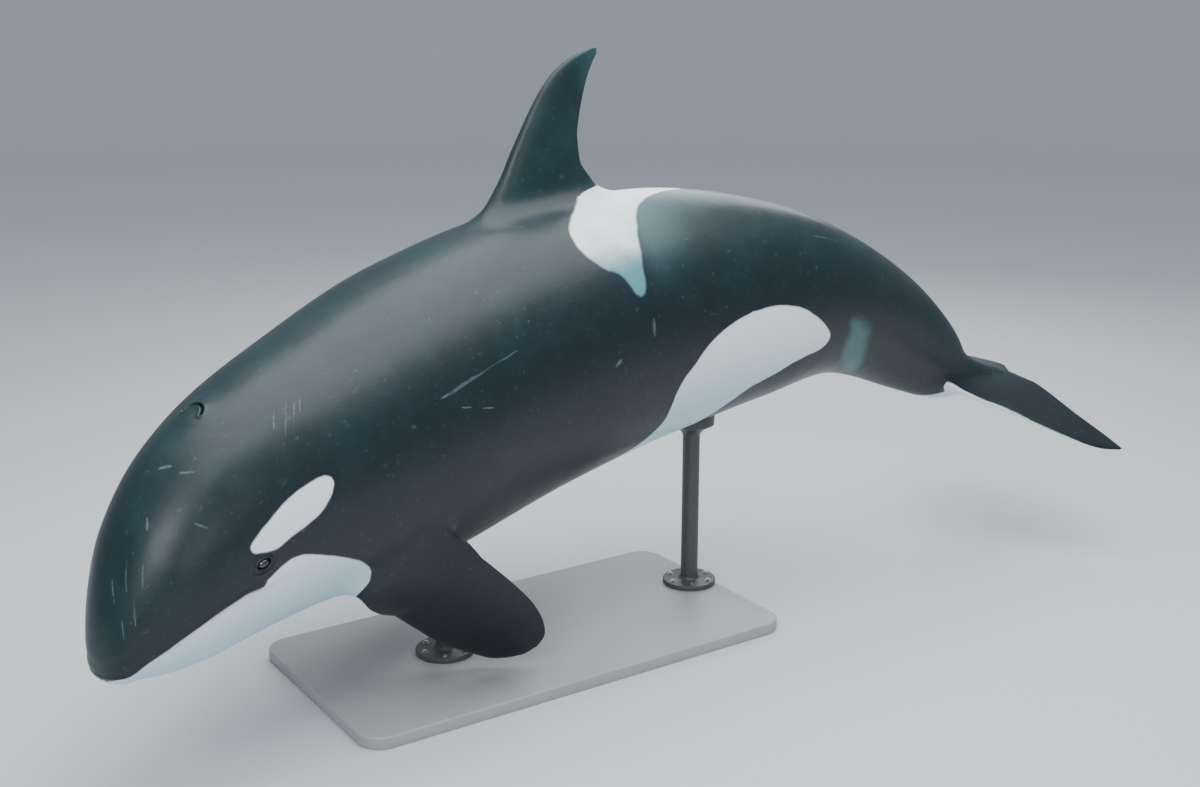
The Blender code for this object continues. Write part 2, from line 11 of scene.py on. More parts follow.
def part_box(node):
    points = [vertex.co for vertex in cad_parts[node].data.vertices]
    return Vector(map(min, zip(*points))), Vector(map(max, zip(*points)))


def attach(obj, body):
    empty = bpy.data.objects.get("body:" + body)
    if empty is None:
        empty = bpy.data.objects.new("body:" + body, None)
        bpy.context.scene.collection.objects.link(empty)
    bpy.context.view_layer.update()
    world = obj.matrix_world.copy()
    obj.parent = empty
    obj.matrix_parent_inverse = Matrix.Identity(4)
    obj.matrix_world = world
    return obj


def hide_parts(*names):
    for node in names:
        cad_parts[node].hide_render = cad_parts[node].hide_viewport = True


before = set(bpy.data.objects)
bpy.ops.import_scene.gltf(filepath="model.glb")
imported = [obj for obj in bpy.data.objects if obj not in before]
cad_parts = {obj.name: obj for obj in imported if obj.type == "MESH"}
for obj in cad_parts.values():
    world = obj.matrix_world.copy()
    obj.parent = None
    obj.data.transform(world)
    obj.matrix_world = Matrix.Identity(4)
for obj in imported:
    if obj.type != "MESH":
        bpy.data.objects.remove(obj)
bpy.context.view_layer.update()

# Camera
# It hangs level with the animal's back, about seven metres off its left shoulder,
# and looks slightly down along the body from ahead.
CAMERA_PLACE = (-3.451, -5.744, 3.051)
CAMERA_DIP = 0.26
CAMERA_HEADING = math.atan2(0.559, 0.829)
camera_data = bpy.data.cameras.new("camera")
camera_data.lens = 44.0
camera_data.sensor_width = 36.0
camera = bpy.data.objects.new("camera", camera_data)
camera.location = CAMERA_PLACE
camera.rotation_euler = (math.pi / 2 - CAMERA_DIP, 0.0, -CAMERA_HEADING)
bpy.context.scene.collection.objects.link(camera)
bpy.context.scene.camera = camera

# Straight form of the animal
# A six metre orca is first drawn straight, x running back from the snout, y to its right and z up.
# Stations give its top, underside and half width, and one spine curve bends it into the dive.
PROFILE = np.array((
    (0.00, -0.156, -0.170, 0.010),
    (0.03, -0.064, -0.210, 0.104),
    (0.10, 0.057, -0.251, 0.150),
    (0.20, 0.182, -0.309, 0.206),
    (0.35, 0.315, -0.369, 0.275),
    (0.60, 0.451, -0.433, 0.343),
    (0.90, 0.526, -0.503, 0.418),
    (1.30, 0.576, -0.610, 0.495),
    (1.90, 0.661, -0.679, 0.559),
    (2.50, 0.694, -0.657, 0.566),
    (3.20, 0.660, -0.605, 0.498),
    (3.90, 0.542, -0.488, 0.381),
    (4.50, 0.401, -0.312, 0.250),
    (5.00, 0.304, -0.243, 0.146),
    (5.30, 0.226, -0.172, 0.098),
    (5.50, 0.138, -0.108, 0.078),
    (5.70, 0.056, -0.050, 0.056),
    (5.80, 0.027, -0.025, 0.038),
    (5.87, 0.010, -0.010, 0.018),
))
SNOUT_ROUNDING = 0.03
KEEL_START = 3.9
KEEL_FULL = 5.0
KEEL_PINCH = 0.35
TAIL_END = 5.87
SPINE_ANCHOR = 2.7
DOWN_BEND = ((0.0, 0.0), (1.0, 0.164), (2.2, -0.014), (3.4, 0.23), (4.5, 0.51), (5.1, 0.235),
             (5.2, 0.0), (5.42, -2.565), (5.64, 0.0), (6.4, 0.0))
SIDE_BEND = ((0.0, 0.0), (1.0, -0.068), (2.5, -0.338), (4.0, 0.117), (5.5, -0.064))
TAIL_TWIST = ((3.6, 0.0), (5.5, 0.177))
TRUNK_CLIMB = math.radians(9.8)
ANCHOR_POINT = (0.23, 0.12, 1.45)


def smooth_table(knots, values, where):
    """Cubic curve through the stations that never overshoots between two of them."""
    knots = np.asarray(knots, float)
    values = np.asarray(values, float)
    step = np.diff(knots)
    slope = np.diff(values) / step
    lean = np.zeros_like(values)
    same_way = slope[1:] * slope[:-1] > 0
    before = 2 * step[1:] + step[:-1]
    after = step[1:] + 2 * step[:-1]
    safe = np.where(same_way, slope[:-1] * slope[1:], 1.0)
    blend = (before + after) * safe / (before * slope[1:] + after * slope[:-1] + 1e-30)
    lean[1:-1] = np.where(same_way, blend, 0.0)
    lean[0] = slope[0]
    lean[-1] = slope[-1]
    where = np.clip(np.asarray(where, float), knots[0], knots[-1])
    cell = np.clip(np.searchsorted(knots, where) - 1, 0, len(step) - 1)
    wide = step[cell]
    part = (where - knots[cell]) / wide
    part2 = part * part
    part3 = part2 * part
    return ((2 * part3 - 3 * part2 + 1) * values[cell]
            + (part3 - 2 * part2 + part) * wide * lean[cell]
            + (3 * part2 - 2 * part3) * values[cell + 1]
            + (part3 - part2) * wide * lean[cell + 1])


def ramp(value, low, high):
    """Smooth step from 0 at low to 1 at high."""
    share = np.clip((np.asarray(value, float) - low) / (high - low), 0.0, 1.0)
    return share * share * (3 - 2 * share)


def snout_reach(x):
    """Distance from the snout, stretched so that the profile ends round."""
    x = np.maximum(np.asarray(x, float), 0.0)
    return np.sqrt(x * (x + 2 * SNOUT_ROUNDING))


def snout_distance(reach):
    return np.sqrt(reach * reach + SNOUT_ROUNDING ** 2) - SNOUT_ROUNDING


def outline(x):
    """Middle height, half height and half width of the straight body."""
    top, bottom, width = (smooth_table(snout_reach(PROFILE[:, 0]), PROFILE[:, index], snout_reach(x))
                          for index in (1, 2, 3))
    return 0.5 * (top + bottom), 0.5 * (top - bottom), width


def keel_pinch(x):
    """How far the sides of the tail stock are drawn in above and below, towards an edge."""
    return KEEL_PINCH * ramp(x, KEEL_START, KEEL_FULL)


def body_point(x, angle):
    """Point on the straight body; angle 0 is the right side, a quarter turn is the top."""
    middle, half, width = outline(x)
    across = np.cos(angle)
    across = width * across * np.abs(across) ** keel_pinch(x)
    return np.stack(np.broadcast_arrays(x, across, middle + half * np.sin(angle)), -1)


def body_angle(points):
    """Angle round the body of any straight-body point, and its distance outside the skin."""
    x = points[..., 0]
    middle, half, width = outline(x)
    across = points[..., 1] / width
    across = np.sign(across) * np.abs(across) ** (1 / (1 + keel_pinch(x)))
    rise = (points[..., 2] - middle) / half
    return np.arctan2(rise, across), (np.hypot(rise, across) - 1) * 0.5 * (half + width)


def spine_frames():
    """Centre, side and up direction of the bent animal at even steps along its spine."""
    along = np.linspace(-0.5, 7.0, 751)
    step = along[1] - along[0]
    anchor = int(np.argmin(np.abs(along - SPINE_ANCHOR)))
    down = np.cumsum(np.interp(along, *zip(*DOWN_BEND))) * step
    turn = np.cumsum(np.interp(along, *zip(*SIDE_BEND))) * step
    down = down - down[anchor]
    turn = turn - turn[anchor]
    roll = np.interp(along, *zip(*TAIL_TWIST))
    tangent = np.stack([np.cos(down) * np.cos(turn), np.cos(down) * np.sin(turn), -np.sin(down)], -1)
    level = np.stack([-np.sin(turn), np.cos(turn), 0 * turn], -1)
    raised = np.cross(tangent, level)
    side = level * np.cos(roll)[:, None] + raised * np.sin(roll)[:, None]
    up = raised * np.cos(roll)[:, None] - level * np.sin(roll)[:, None]
    centre = np.cumsum(tangent, axis=0) * step
    return along, centre - centre[anchor], side, up


SPINE = spine_frames()
CLIMB = np.array([[math.cos(TRUNK_CLIMB), 0, -math.sin(TRUNK_CLIMB)],
                  [0, 1, 0],
                  [math.sin(TRUNK_CLIMB), 0, math.cos(TRUNK_CLIMB)]])


def pose(points):
    """Straight-body points carried along the spine curve and set over the base."""
    points = np.asarray(points, float)
    along, centre, side, up = SPINE

    def at(table):
        return np.stack([np.interp(points[..., 0], along, table[:, axis]) for axis in range(3)], -1)

    bent = at(centre) + at(side) * points[..., 1:2] + at(up) * points[..., 2:3]
    return bent @ CLIMB.T + np.array(ANCHOR_POINT)


# Skin of the head and trunk
# The hide of the living animal is smooth, firm and without scales. Rings of the straight body crowd
# together on the head and beside the line of the mouth, where lips, lids and blowhole are raised.
MOUTH_LINE = ((-0.06, -0.163), (0.03, -0.163), (0.10, -0.150), (0.25, -0.122),
              (0.40, -0.104), (0.50, -0.105), (0.58, -0.124))
MOUTH_CORNER = 0.575
COLUMNS_BELOW = 26
COLUMNS_ABOVE = 52
RING_SPACING = ((0.0, 0.009), (0.70, 0.011), (1.15, 0.027), (5.00, 0.027), (5.87, 0.018))
CROWDING = ((0.0, 0.62), (0.62, 0.62), (1.15, 0.10), (6.0, 0.0))
EYE_X = 0.607
EYE_Z = -0.023
EYE_RADII = (0.027, 0.022, 0.019)
EYE_SINK = 0.013
LID_RADII = (0.031, 0.019)
BLOWHOLE_X = 0.80
BLOWHOLE_Y = -0.015
BLOWHOLE_RADIUS = 0.050
BLOWHOLE_SPREAD = math.radians(78)
RING_CROWD = 2.2
SPACING_NEAR_MOUTH = ((0.05, 0.008), (0.020, 0.0032))
SPACING_NEAR_LIDS = ((3.2, 0.005), (2.0, 0.0028), (1.35, 0.0014))
SPACING_NEAR_BLOWHOLE = ((0.10, 0.012), (0.04, 0.006), (0.014, 0.0026))
SPLIT_LIMIT = 1.35
SPLIT_ROUNDS = 5
RELIEF_END = 1.15


def mouth_angle(x):
    """Angle of the line of the mouth above the middle of the side, held level behind its corner."""
    x = np.minimum(x, MOUTH_CORNER)
    middle, half, width = outline(x)
    height = smooth_table(*zip(*MOUTH_LINE), x)
    return np.arcsin(np.clip((height - middle) / half, -1, 1))


def ring_angles(x):
    """Side angles of a ring, from the underside up the right side and down the left."""
    mouth = float(mouth_angle(x))
    crowd = float(np.interp(x, *zip(*CROWDING)))
    below = np.linspace(0, 1, COLUMNS_BELOW + 1)
    above = np.linspace(0, 1, COLUMNS_ABOVE + 1)
    below = (1 - crowd) * below + crowd * below ** RING_CROWD
    above = (1 - crowd) * above + crowd * above ** RING_CROWD
    low = mouth - (mouth + math.pi / 2) * below[::-1]
    high = mouth + (math.pi / 2 - mouth) * above[1:]
    right = np.concatenate([low, high])
    return np.concatenate([right, math.pi - right[-2:0:-1]])


def new_mesh_object(name, vertices, faces):
    """Smooth closed mesh whose faces look outwards."""
    mesh = bpy.data.meshes.new(name)
    mesh.from_pydata([tuple(v) for v in vertices], [], faces)
    mesh.update()
    item = bpy.data.objects.new(name, mesh)
    bpy.context.scene.collection.objects.link(item)
    work = bmesh.new()
    work.from_mesh(mesh)
    bmesh.ops.recalc_face_normals(work, faces=work.faces)
    if work.calc_volume(signed=True) < 0:
        bmesh.ops.reverse_faces(work, faces=work.faces)
    work.to_mesh(mesh)
    work.free()
    mesh.shade_smooth()
    return item


def loft_faces(rows, count):
    """Quads between closed rings of equal point counts."""
    faces = []
    for row in range(rows - 1):
        for step in range(count):
            here = row * count + step
            beside = row * count + (step + 1) % count
            faces.append((here, beside, beside + count, here + count))
    return faces


def pointed_faces(rows, count):
    """Rings of quads with a fan at each end to one of the two points that follow the rings."""
    faces = loft_faces(rows, count)
    last = (rows - 1) * count
    for step in range(count):
        following = (step + 1) % count
        faces.append((following, step, rows * count))
        faces.append((last + step, last + following, rows * count + 1))
    return faces


def body_grid():
    """Straight body as rings of quads with a point at each end."""
    reach = 0.004
    rings = []
    while True:
        x = float(snout_distance(reach))
        if x > TAIL_END:
            break
        rings.append(body_point(np.full(2 * (COLUMNS_BELOW + COLUMNS_ABOVE), x), ring_angles(x)))
        reach += float(np.interp(x, *zip(*RING_SPACING)))
    nose = body_point(np.array([0.0]), np.array([0.0])) * np.array([1, 0, 1])
    end = rings[-1].mean(axis=0, keepdims=True)
    return new_mesh_object("orca_skin", np.concatenate(rings + [nose, end]),
                           pointed_faces(len(rings), len(rings[0])))


def eye_frame(side):
    """Skin point over an eye with its back, out and up directions, on the straight body."""
    middle, half, width = outline(EYE_X)
    angle = math.asin((EYE_Z - middle) / half)
    if side < 0:
        angle = math.pi - angle
    small = 0.002
    here, behind, above = body_point(np.array([EYE_X, EYE_X + small, EYE_X]),
                                     np.array([angle, angle, angle + small * side]))
    back = (behind - here) / np.linalg.norm(behind - here)
    up = above - here
    up -= back * (up @ back)
    up /= np.linalg.norm(up)
    out = np.cross(back, up)
    return here, back, out * np.sign(out[1] * side), up


def lid_radius(points, side):
    """1 on the rim of the lids of one eye, less inside the opening."""
    here, back, out, up = eye_frame(side)
    local = points - here
    radius = np.hypot(local @ back / LID_RADII[0], local @ up / LID_RADII[1])
    return np.where(local @ out < -0.12, 99.0, radius)


def fold_to_side(angle):
    """Folds an angle round the body to one side: 0 in the middle of the side, a quarter turn on the back."""
    side = np.where(np.cos(angle) < 0, math.pi - angle, angle)
    return np.where(side > math.pi, side - 2 * math.pi, side)


def mouth_distance(points):
    """Distance along the skin above the line of the mouth, and distance back past its corner."""
    side = fold_to_side(body_angle(points)[0])
    middle, half, width = outline(points[..., 0])
    across = (side - mouth_angle(points[..., 0])) * 0.5 * (half + width)
    past = np.maximum(points[..., 0] - MOUTH_CORNER, 0.0)
    return across, past


def slit_distance(points):
    """Distance from the crescent of the blowhole, seen from above."""
    x = points[..., 0] - BLOWHOLE_X + 0.5 * BLOWHOLE_RADIUS
    y = points[..., 1] - BLOWHOLE_Y
    turn = np.clip(np.arctan2(y, x), -BLOWHOLE_SPREAD, BLOWHOLE_SPREAD)
    away = np.hypot(x - BLOWHOLE_RADIUS * np.cos(turn), y - BLOWHOLE_RADIUS * np.sin(turn))
    return np.where(points[..., 2] < 0, 9.0, away)


def wanted_spacing(points):
    """Finest edge length that the relief of the head needs at each point."""
    spacing = np.full(len(points), 1.0)
    for away, steps in ((np.hypot(*mouth_distance(points)), SPACING_NEAR_MOUTH),
                        (lid_radius(points, 1), SPACING_NEAR_LIDS),
                        (lid_radius(points, -1), SPACING_NEAR_LIDS),
                        (slit_distance(points), SPACING_NEAR_BLOWHOLE)):
        for reach, fine in steps:
            spacing = np.where(away < reach, np.minimum(spacing, fine), spacing)
    return spacing


def refine_head(item):
    """Splits edges that are too long for the relief, and puts new points on the true form."""
    for turn in range(SPLIT_ROUNDS):
        work = bmesh.new()
        work.from_mesh(item.data)
        edges = [edge for edge in work.edges if edge.verts[0].co.x < RELIEF_END - 0.05]
        ends = np.array([(*edge.verts[0].co, *edge.verts[1].co) for edge in edges])
        middle = 0.5 * (ends[:, :3] + ends[:, 3:])
        length = np.linalg.norm(ends[:, :3] - ends[:, 3:], axis=1)
        chosen = np.nonzero(length > SPLIT_LIMIT * wanted_spacing(middle))[0]
        if not len(chosen):
            work.free()
            break
        bmesh.ops.subdivide_edges(work, edges=[edges[index] for index in chosen], cuts=1,
                                  use_grid_fill=True, use_single_edge=True)
        many = [face for face in work.faces if len(face.verts) > 4]
        bmesh.ops.triangulate(work, faces=many)
        moving = [vertex for vertex in work.verts if 0.0001 < vertex.co.x < RELIEF_END + 0.05]
        points = np.array([vertex.co for vertex in moving])
        placed = body_point(points[:, 0], body_angle(points)[0])
        for vertex, place in zip(moving, placed):
            vertex.co = place
        work.to_mesh(item.data)
        work.free()


def positions(mesh):
    """Places of a mesh's points as rows of x, y and z."""
    flat = np.empty(len(mesh.vertices) * 3, np.float32)
    mesh.vertices.foreach_get("co", flat)
    return flat.reshape(-1, 3).astype(float)


def ridge(away, at, width, height):
    """Soft raised line at a distance from something, or a groove where the height is negative."""
    return height * np.exp(-((away - at) / width) ** 2)


def head_relief(points):
    """Height of lips, lids and blowhole above the plain form."""
    x = points[:, 0]
    across, past = mouth_distance(points)
    groove = ridge(np.hypot(across, past), at=0.0, width=0.0042, height=-0.0085) * ramp(x, 0.002, 0.030)
    lip_fade = 1 - ramp(x, 0.50, 0.66)
    upper_lip = ridge(across, at=0.013, width=0.010, height=0.0040) * lip_fade
    lower_lip = ridge(across, at=-0.012, width=0.009, height=0.0022) * lip_fade
    jaw_back = 1 - ramp(x, 0.50, 0.80)
    tuck = -0.0085 * ramp(-across, 0.0, 0.016) * (1 - ramp(-across, 0.10, 0.24)) * jaw_back
    tuck = tuck * ramp(x, 0.04, 0.30)
    corner = np.hypot(past - 0.022, across + 0.010)
    corner_fold = ridge(corner, at=0.030, width=0.006, height=-0.0035) * ramp(past, 0.004, 0.020)
    beak = ridge(across, at=0.085, width=0.022, height=-0.0030) * (1 - ramp(x, 0.10, 0.34))
    height = groove + upper_lip + lower_lip + tuck + corner_fold + beak
    for side in (1, -1):
        radius = lid_radius(points, side)
        rim = ridge(radius, at=1.16, width=0.24, height=0.0052)
        fold = ridge(radius, at=1.72, width=0.16, height=-0.0016)
        brow = ridge(radius, at=2.10, width=0.35, height=0.0022)
        socket = -0.0165 * (1 - ramp(radius, 0.78, 1.03))
        height = height + rim + fold + brow + socket
    slit = slit_distance(points)
    mound = np.hypot((x - BLOWHOLE_X) / 0.115, (points[:, 1] - BLOWHOLE_Y) / 0.095)
    mound = np.where(points[:, 2] < 0, 9.0, mound)
    height = height + 0.008 * (1 - ramp(mound, 0.15, 1.05))
    height = height + ridge(slit, at=0.010, width=0.006, height=0.0035)
    return height - ridge(slit, at=0.0, width=0.0034, height=0.018)


skin = body_grid()
refine_head(skin)
plain_points = positions(skin.data)
skin_normals = np.empty(len(skin.data.vertices) * 3, np.float32)
skin.data.vertices.foreach_get("normal", skin_normals)
lift = np.where(plain_points[:, 0] < RELIEF_END, head_relief(plain_points), 0.0)
raised_points = plain_points + skin_normals.reshape(-1, 3) * lift[:, None]
skin.data.vertices.foreach_set("co", raised_points.astype(np.float32).ravel())
skin.data.update()

# Fins
# Back fin and flukes are tough fibrous plates without bones, and each flipper is a stiff paddle.
# All have a round front edge and a thin rear edge, and grow out of the skin with a soft fillet.
DORSAL_FIN = (
    (0.560, 2.300, 3.140, 0.115),
    (0.700, 2.400, 3.070, 0.080),
    (0.770, 2.490, 3.006, 0.062),
    (0.860, 2.574, 2.970, 0.050),
    (0.960, 2.645, 2.972, 0.043),
    (1.060, 2.718, 2.993, 0.037),
    (1.150, 2.784, 3.020, 0.031),
    (1.230, 2.850, 3.049, 0.025),
    (1.295, 2.925, 3.080, 0.019),
    (1.335, 3.000, 3.100, 0.013),
    (1.352, 3.060, 3.100, 0.007),
)
FLIPPER = (
    (-0.17, -0.22, 0.22, 0.062),
    (0.00, -0.405, 0.34, 0.060),
    (0.12, -0.435, 0.475, 0.050),
    (0.28, -0.470, 0.52, 0.041),
    (0.44, -0.48, 0.51, 0.034),
    (0.60, -0.485, 0.495, 0.028),
    (0.74, -0.450, 0.470, 0.022),
    (0.86, -0.370, 0.410, 0.017),
    (0.94, -0.300, 0.335, 0.012),
    (0.99, -0.190, 0.250, 0.008),
    (1.02, -0.07, 0.13, 0.005),
)
FLIPPER_LENGTH = 1.0
FLIPPER_WIDTH = 0.55
FLIPPER_X = 1.24
FLIPPER_LEVEL = math.radians(-48)
FLIPPER_SINK = 0.90
FLIPPER_SWEEP = 1.45
FLIPPER_DROP = {"left": 0.83, "right": 0.55}
FLIPPER_TURN_ROOT = 0.30
FLIPPER_TURN_TIP = 0.95
FLIPPER_TURN_END = 0.35
FLIPPER_CURL = 0.056
FLUKE = (
    (0.000, 5.100, 5.902, 0.052),
    (0.055, 5.215, 5.938, 0.049),
    (0.110, 5.320, 5.968, 0.044),
    (0.190, 5.450, 5.998, 0.037),
    (0.280, 5.560, 6.024, 0.031),
    (0.380, 5.672, 6.055, 0.025),
    (0.480, 5.780, 6.098, 0.020),
    (0.560, 5.876, 6.140, 0.015),
    (0.622, 5.968, 6.170, 0.011),
    (0.662, 6.058, 6.190, 0.008),
    (0.680, 6.155, 6.198, 0.005),
)
FLUKE_DROOP = -0.211
FLUKE_CURL = -0.17
CHORD_POINTS = 24
TIP_ROUNDING = 0.004
EDGE_THICKNESS = 0.0012
SEAM_LIFT = 0.0025
SEAM_MERGE = 0.005
FILLET_TURNS = 45
FILLET_REACH = 0.12
FLUKE_FILLET_REACH = 0.09
FILLET_PULL = 0.6
NOTCH_PULL = 0.4


def fin_rows(table, count):
    """A fin's stations made finer, closer together towards the tip, which ends round."""
    stations = np.array(table)
    root, tip = stations[0, 0], stations[-1, 0]
    spans = root + (tip - root) * np.sin(np.linspace(0, math.pi / 2, count))
    rows = np.stack([spans] + [smooth_table(stations[:, 0], stations[:, index], spans)
                               for index in (1, 2, 3)], -1)
    tip = rows[-1]
    middle = 0.5 * (tip[1] + tip[2])
    ends = []
    for turn in np.radians((30, 55, 75, 87)):
        shrink = math.cos(turn)
        ends.append((tip[0] + TIP_ROUNDING * math.sin(turn), middle + (tip[1] - middle) * shrink,
                     middle + (tip[2] - middle) * shrink, tip[3] * shrink))
    return np.concatenate([rows, ends])


def wing_section(front, rear, half_thickness):
    """Closed outline from the front edge over one face to the rear edge and back."""
    share = (1 - np.cos(np.linspace(0, math.pi, CHORD_POINTS))) / 2
    shape = 2.6 * (0.55 * np.sqrt(share) - 0.25 * share - 0.30 * share ** 2) + 0.06 * share
    shape = np.maximum(shape, 0.0) / shape.max()
    thickness = half_thickness * shape
    thickness[-1] = min(EDGE_THICKNESS, half_thickness * 0.3)
    along = front + (rear - front) * share
    upper = np.stack([along[1:], thickness[1:]], -1)
    lower = np.stack([along[:0:-1], -thickness[:0:-1]], -1)
    return np.concatenate([[[front, 0.0]], upper, lower])


def closed_loft(name, rings, sharp_degrees=None):
    """Rings of quads with a flat face at each end; sharper edges than the angle stay crisp."""
    count = len(rings[0])
    last = (len(rings) - 1) * count
    faces = loft_faces(len(rings), count)
    faces.append(tuple(range(count - 1, -1, -1)))
    faces.append(tuple(range(last, last + count)))
    item = new_mesh_object(name, np.concatenate(rings), faces)
    if sharp_degrees:
        item.data.set_sharp_from_angle(angle=math.radians(sharp_degrees))
    return item


def dorsal_sections():
    """Level sections of the back fin, from inside the back to its tip."""
    sections = []
    for height, front, rear, half in fin_rows(DORSAL_FIN, 44):
        flat = wing_section(front, rear, half)
        sections.append(np.stack([flat[:, 0], flat[:, 1], np.full(len(flat), height)], -1))
    return sections


def flipper_sections(side, drop):
    """One flipper from inside the chest to its tip, twisting flat over the first third."""
    root = body_point(np.array([FLIPPER_X]), np.array([FLIPPER_LEVEL]))[0]
    root = root * np.array([1, side * FLIPPER_SINK, FLIPPER_SINK])
    span = np.array([math.sin(FLIPPER_SWEEP) * math.cos(drop),
                     side * math.cos(FLIPPER_SWEEP) * math.cos(drop), -math.sin(drop)])
    chord = np.array([1.0, 0.0, 0.0]) - span * span[0]
    chord /= np.linalg.norm(chord)
    through = np.cross(chord, span) * side
    sections = []
    for share, front, rear, half in fin_rows(FLIPPER, 46):
        twist = max(0.0, min(1.0, share / FLIPPER_TURN_END))
        turn = FLIPPER_TURN_ROOT + (FLIPPER_TURN_TIP - FLIPPER_TURN_ROOT) * twist
        turned = chord * math.cos(turn) + through * math.sin(turn)
        normal = np.cross(turned, span) * side
        flat = wing_section(front * FLIPPER_WIDTH, rear * FLIPPER_WIDTH, half)
        centre = root + span * (share * FLIPPER_LENGTH) + normal * (FLIPPER_CURL * share ** 2)
        sections.append(centre + flat[:, :1] * turned + flat[:, 1:] * normal)
    return sections


def fluke_level(out):
    """Height of the middle of the flukes, which droop towards their tips."""
    return FLUKE_DROOP * out + FLUKE_CURL * out * out


def fluke_sections():
    """Both lobes in one, from the left tip to the right."""
    half_span = []
    for out, front, rear, half in fin_rows(FLUKE, 44):
        flat = wing_section(front, rear, half)
        half_span.append(np.stack([flat[:, 0], np.full(len(flat), out), flat[:, 1] + fluke_level(out)], -1))
    mirrored = [section * np.array([1, -1, 1]) for section in half_span[:0:-1]]
    return mirrored + half_span


fins = [closed_loft("back_fin", dorsal_sections()), closed_loft("flukes", fluke_sections())]
for fin_side, fin_label in ((1, "right"), (-1, "left")):
    fins.append(closed_loft("flipper_" + fin_label, flipper_sections(fin_side, FLIPPER_DROP[fin_label])))
fin_group = bpy.data.collections.new("fins")
bpy.context.scene.collection.children.link(fin_group)
for fin in fins:
    fin_group.objects.link(fin)
union = skin.modifiers.new("union", "BOOLEAN")
union.operation = "UNION"
union.solver = "EXACT"
union.operand_type = "COLLECTION"
union.collection = fin_group
joined = bpy.data.meshes.new_from_object(skin.evaluated_get(bpy.context.evaluated_depsgraph_get()))
skin.modifiers.clear()
skin.data = joined
for fin in fins:
    bpy.data.objects.remove(fin, do_unlink=True)
bpy.data.collections.remove(fin_group)


def soften_roots(item):
    """Rounds the sharp line where each fin meets the body into a fillet."""
    work = bmesh.new()
    work.from_mesh(item.data)
    work.verts.ensure_lookup_table()
    points = np.array([vertex.co for vertex in work.verts])
    on_fin = (body_angle(points)[1] > SEAM_LIFT) & (points[:, 0] > 0.95)
    seam = [vertex.index for vertex in work.verts if not on_fin[vertex.index]
            and any(on_fin[edge.other_vert(vertex).index] for edge in vertex.link_edges)]
    tree = KDTree(len(seam))
    for index in seam:
        tree.insert(points[index], index)
    tree.balance()

    def seam_distance(points):
        return np.array([tree.find(point)[2] if point[0] > 0.9 else 9.0 for point in points])

    away = seam_distance(points)
    close = [vertex for vertex in work.verts if away[vertex.index] < 0.012]
    bmesh.ops.remove_doubles(work, verts=close, dist=SEAM_MERGE)
    work.verts.index_update()
    points = np.array([vertex.co for vertex in work.verts])
    reach = np.where(points[:, 0] > 4.5, FLUKE_FILLET_REACH, FILLET_REACH)
    weight = FILLET_PULL * (1 - ramp(seam_distance(points), 0.0, reach))
    beside_ridge = 1 - ramp(np.abs(points[:, 1]), 0.06, 0.13)
    notch = NOTCH_PULL * ramp(points[:, 0], 5.35, 5.50) * beside_ridge
    weight = np.maximum(weight, notch)[:, None]
    edges = np.array([(edge.verts[0].index, edge.verts[1].index) for edge in work.edges])
    near = (weight[edges[:, 0], 0] > 0) | (weight[edges[:, 1], 0] > 0)
    edges = edges[near]
    count = np.bincount(edges.ravel(), minlength=len(points)).clip(1)[:, None]
    for turn in range(FILLET_TURNS):
        total = np.zeros_like(points)
        for axis in range(3):
            total[:, axis] = (np.bincount(edges[:, 0], points[edges[:, 1], axis], len(points))
                              + np.bincount(edges[:, 1], points[edges[:, 0], axis], len(points)))
        points = points + weight * (total / count - points)
    for vertex, place in zip(work.verts, points):
        vertex.co = place
    work.to_mesh(item.data)
    work.free()


soften_roots(skin)

# Markings
# Chin, throat and belly are white, an oval patch lies behind each eye, a grey-white saddle behind the
# back fin, and a lobe of the belly's white climbs each flank. Outlines are in metres back from the
# snout and degrees up the side, where -90 is the middle of the belly and 90 the middle of the back.
EYE_PATCH = ((0.590, 8.6), (0.583, 5.6), (0.602, 2.8), (0.666, -0.7), (0.722, -0.4), (0.778, 0.5),
             (0.837, 1.2), (0.892, 2.9), (0.942, 6.2), (0.983, 10.7), (0.990, 14.2), (0.968, 16.6),
             (0.911, 17.5), (0.852, 17.4), (0.797, 16.5), (0.743, 15.1), (0.691, 13.3), (0.641, 11.0))
BELLY_KNOTS = (4.40, 3.90, 3.40, 2.90, 2.40, 1.90, 1.40, 1.10, 0.80, 0.55, 0.35, 0.20, 0.10, 0.03)
UNDERSIDE = ((-0.05, -100), (-0.05, 20), (0.03, -6.0), (0.10, -12.0), (0.18, -11.0), (0.30, -10.5),
             (0.40, -10.5), (0.50, -13.0), (0.562, -16.9), (0.590, -15.8), (0.622, -13.2),
             (0.702, -10.8), (0.750, -11.2), (0.795, -13.7), (0.892, -21.0), (1.002, -29.3),
             (1.080, -37.0), (1.108, -44.5), (1.095, -58.0), (1.15, -69.0), (1.30, -75.0),
             (1.60, -78.0), (2.10, -78.0), (2.50, -74.0), (2.75, -67.0), (2.92, -56.0),
             (3.050, -42.0), (3.086, -31.5), (3.113, -23.8), (3.160, -18.0), (3.220, -13.4),
             (3.275, -8.6), (3.340, -4.2), (3.414, -0.7), (3.499, 2.2), (3.585, 4.6), (3.684, 6.3),
             (3.780, 7.1), (3.882, 6.0), (3.980, 2.1), (4.080, -4.8), (4.145, -11.5), (4.150, -18.0),
             (4.109, -23.1), (4.011, -26.2), (3.923, -29.7), (3.842, -34.0), (3.756, -37.6),
             (3.666, -41.0), (3.580, -47.0), (3.480, -56.0), (3.400, -67.0), (3.50, -76.0),
             (3.80, -81.0), (4.15, -84.0), *((x, -100) for x in BELLY_KNOTS))
TAIL_UNDERSIDE = ((5.24, -100), (5.25, -84), (5.32, -64), (5.46, -44), (5.62, -30), (5.95, -28),
                  (5.95, -100))
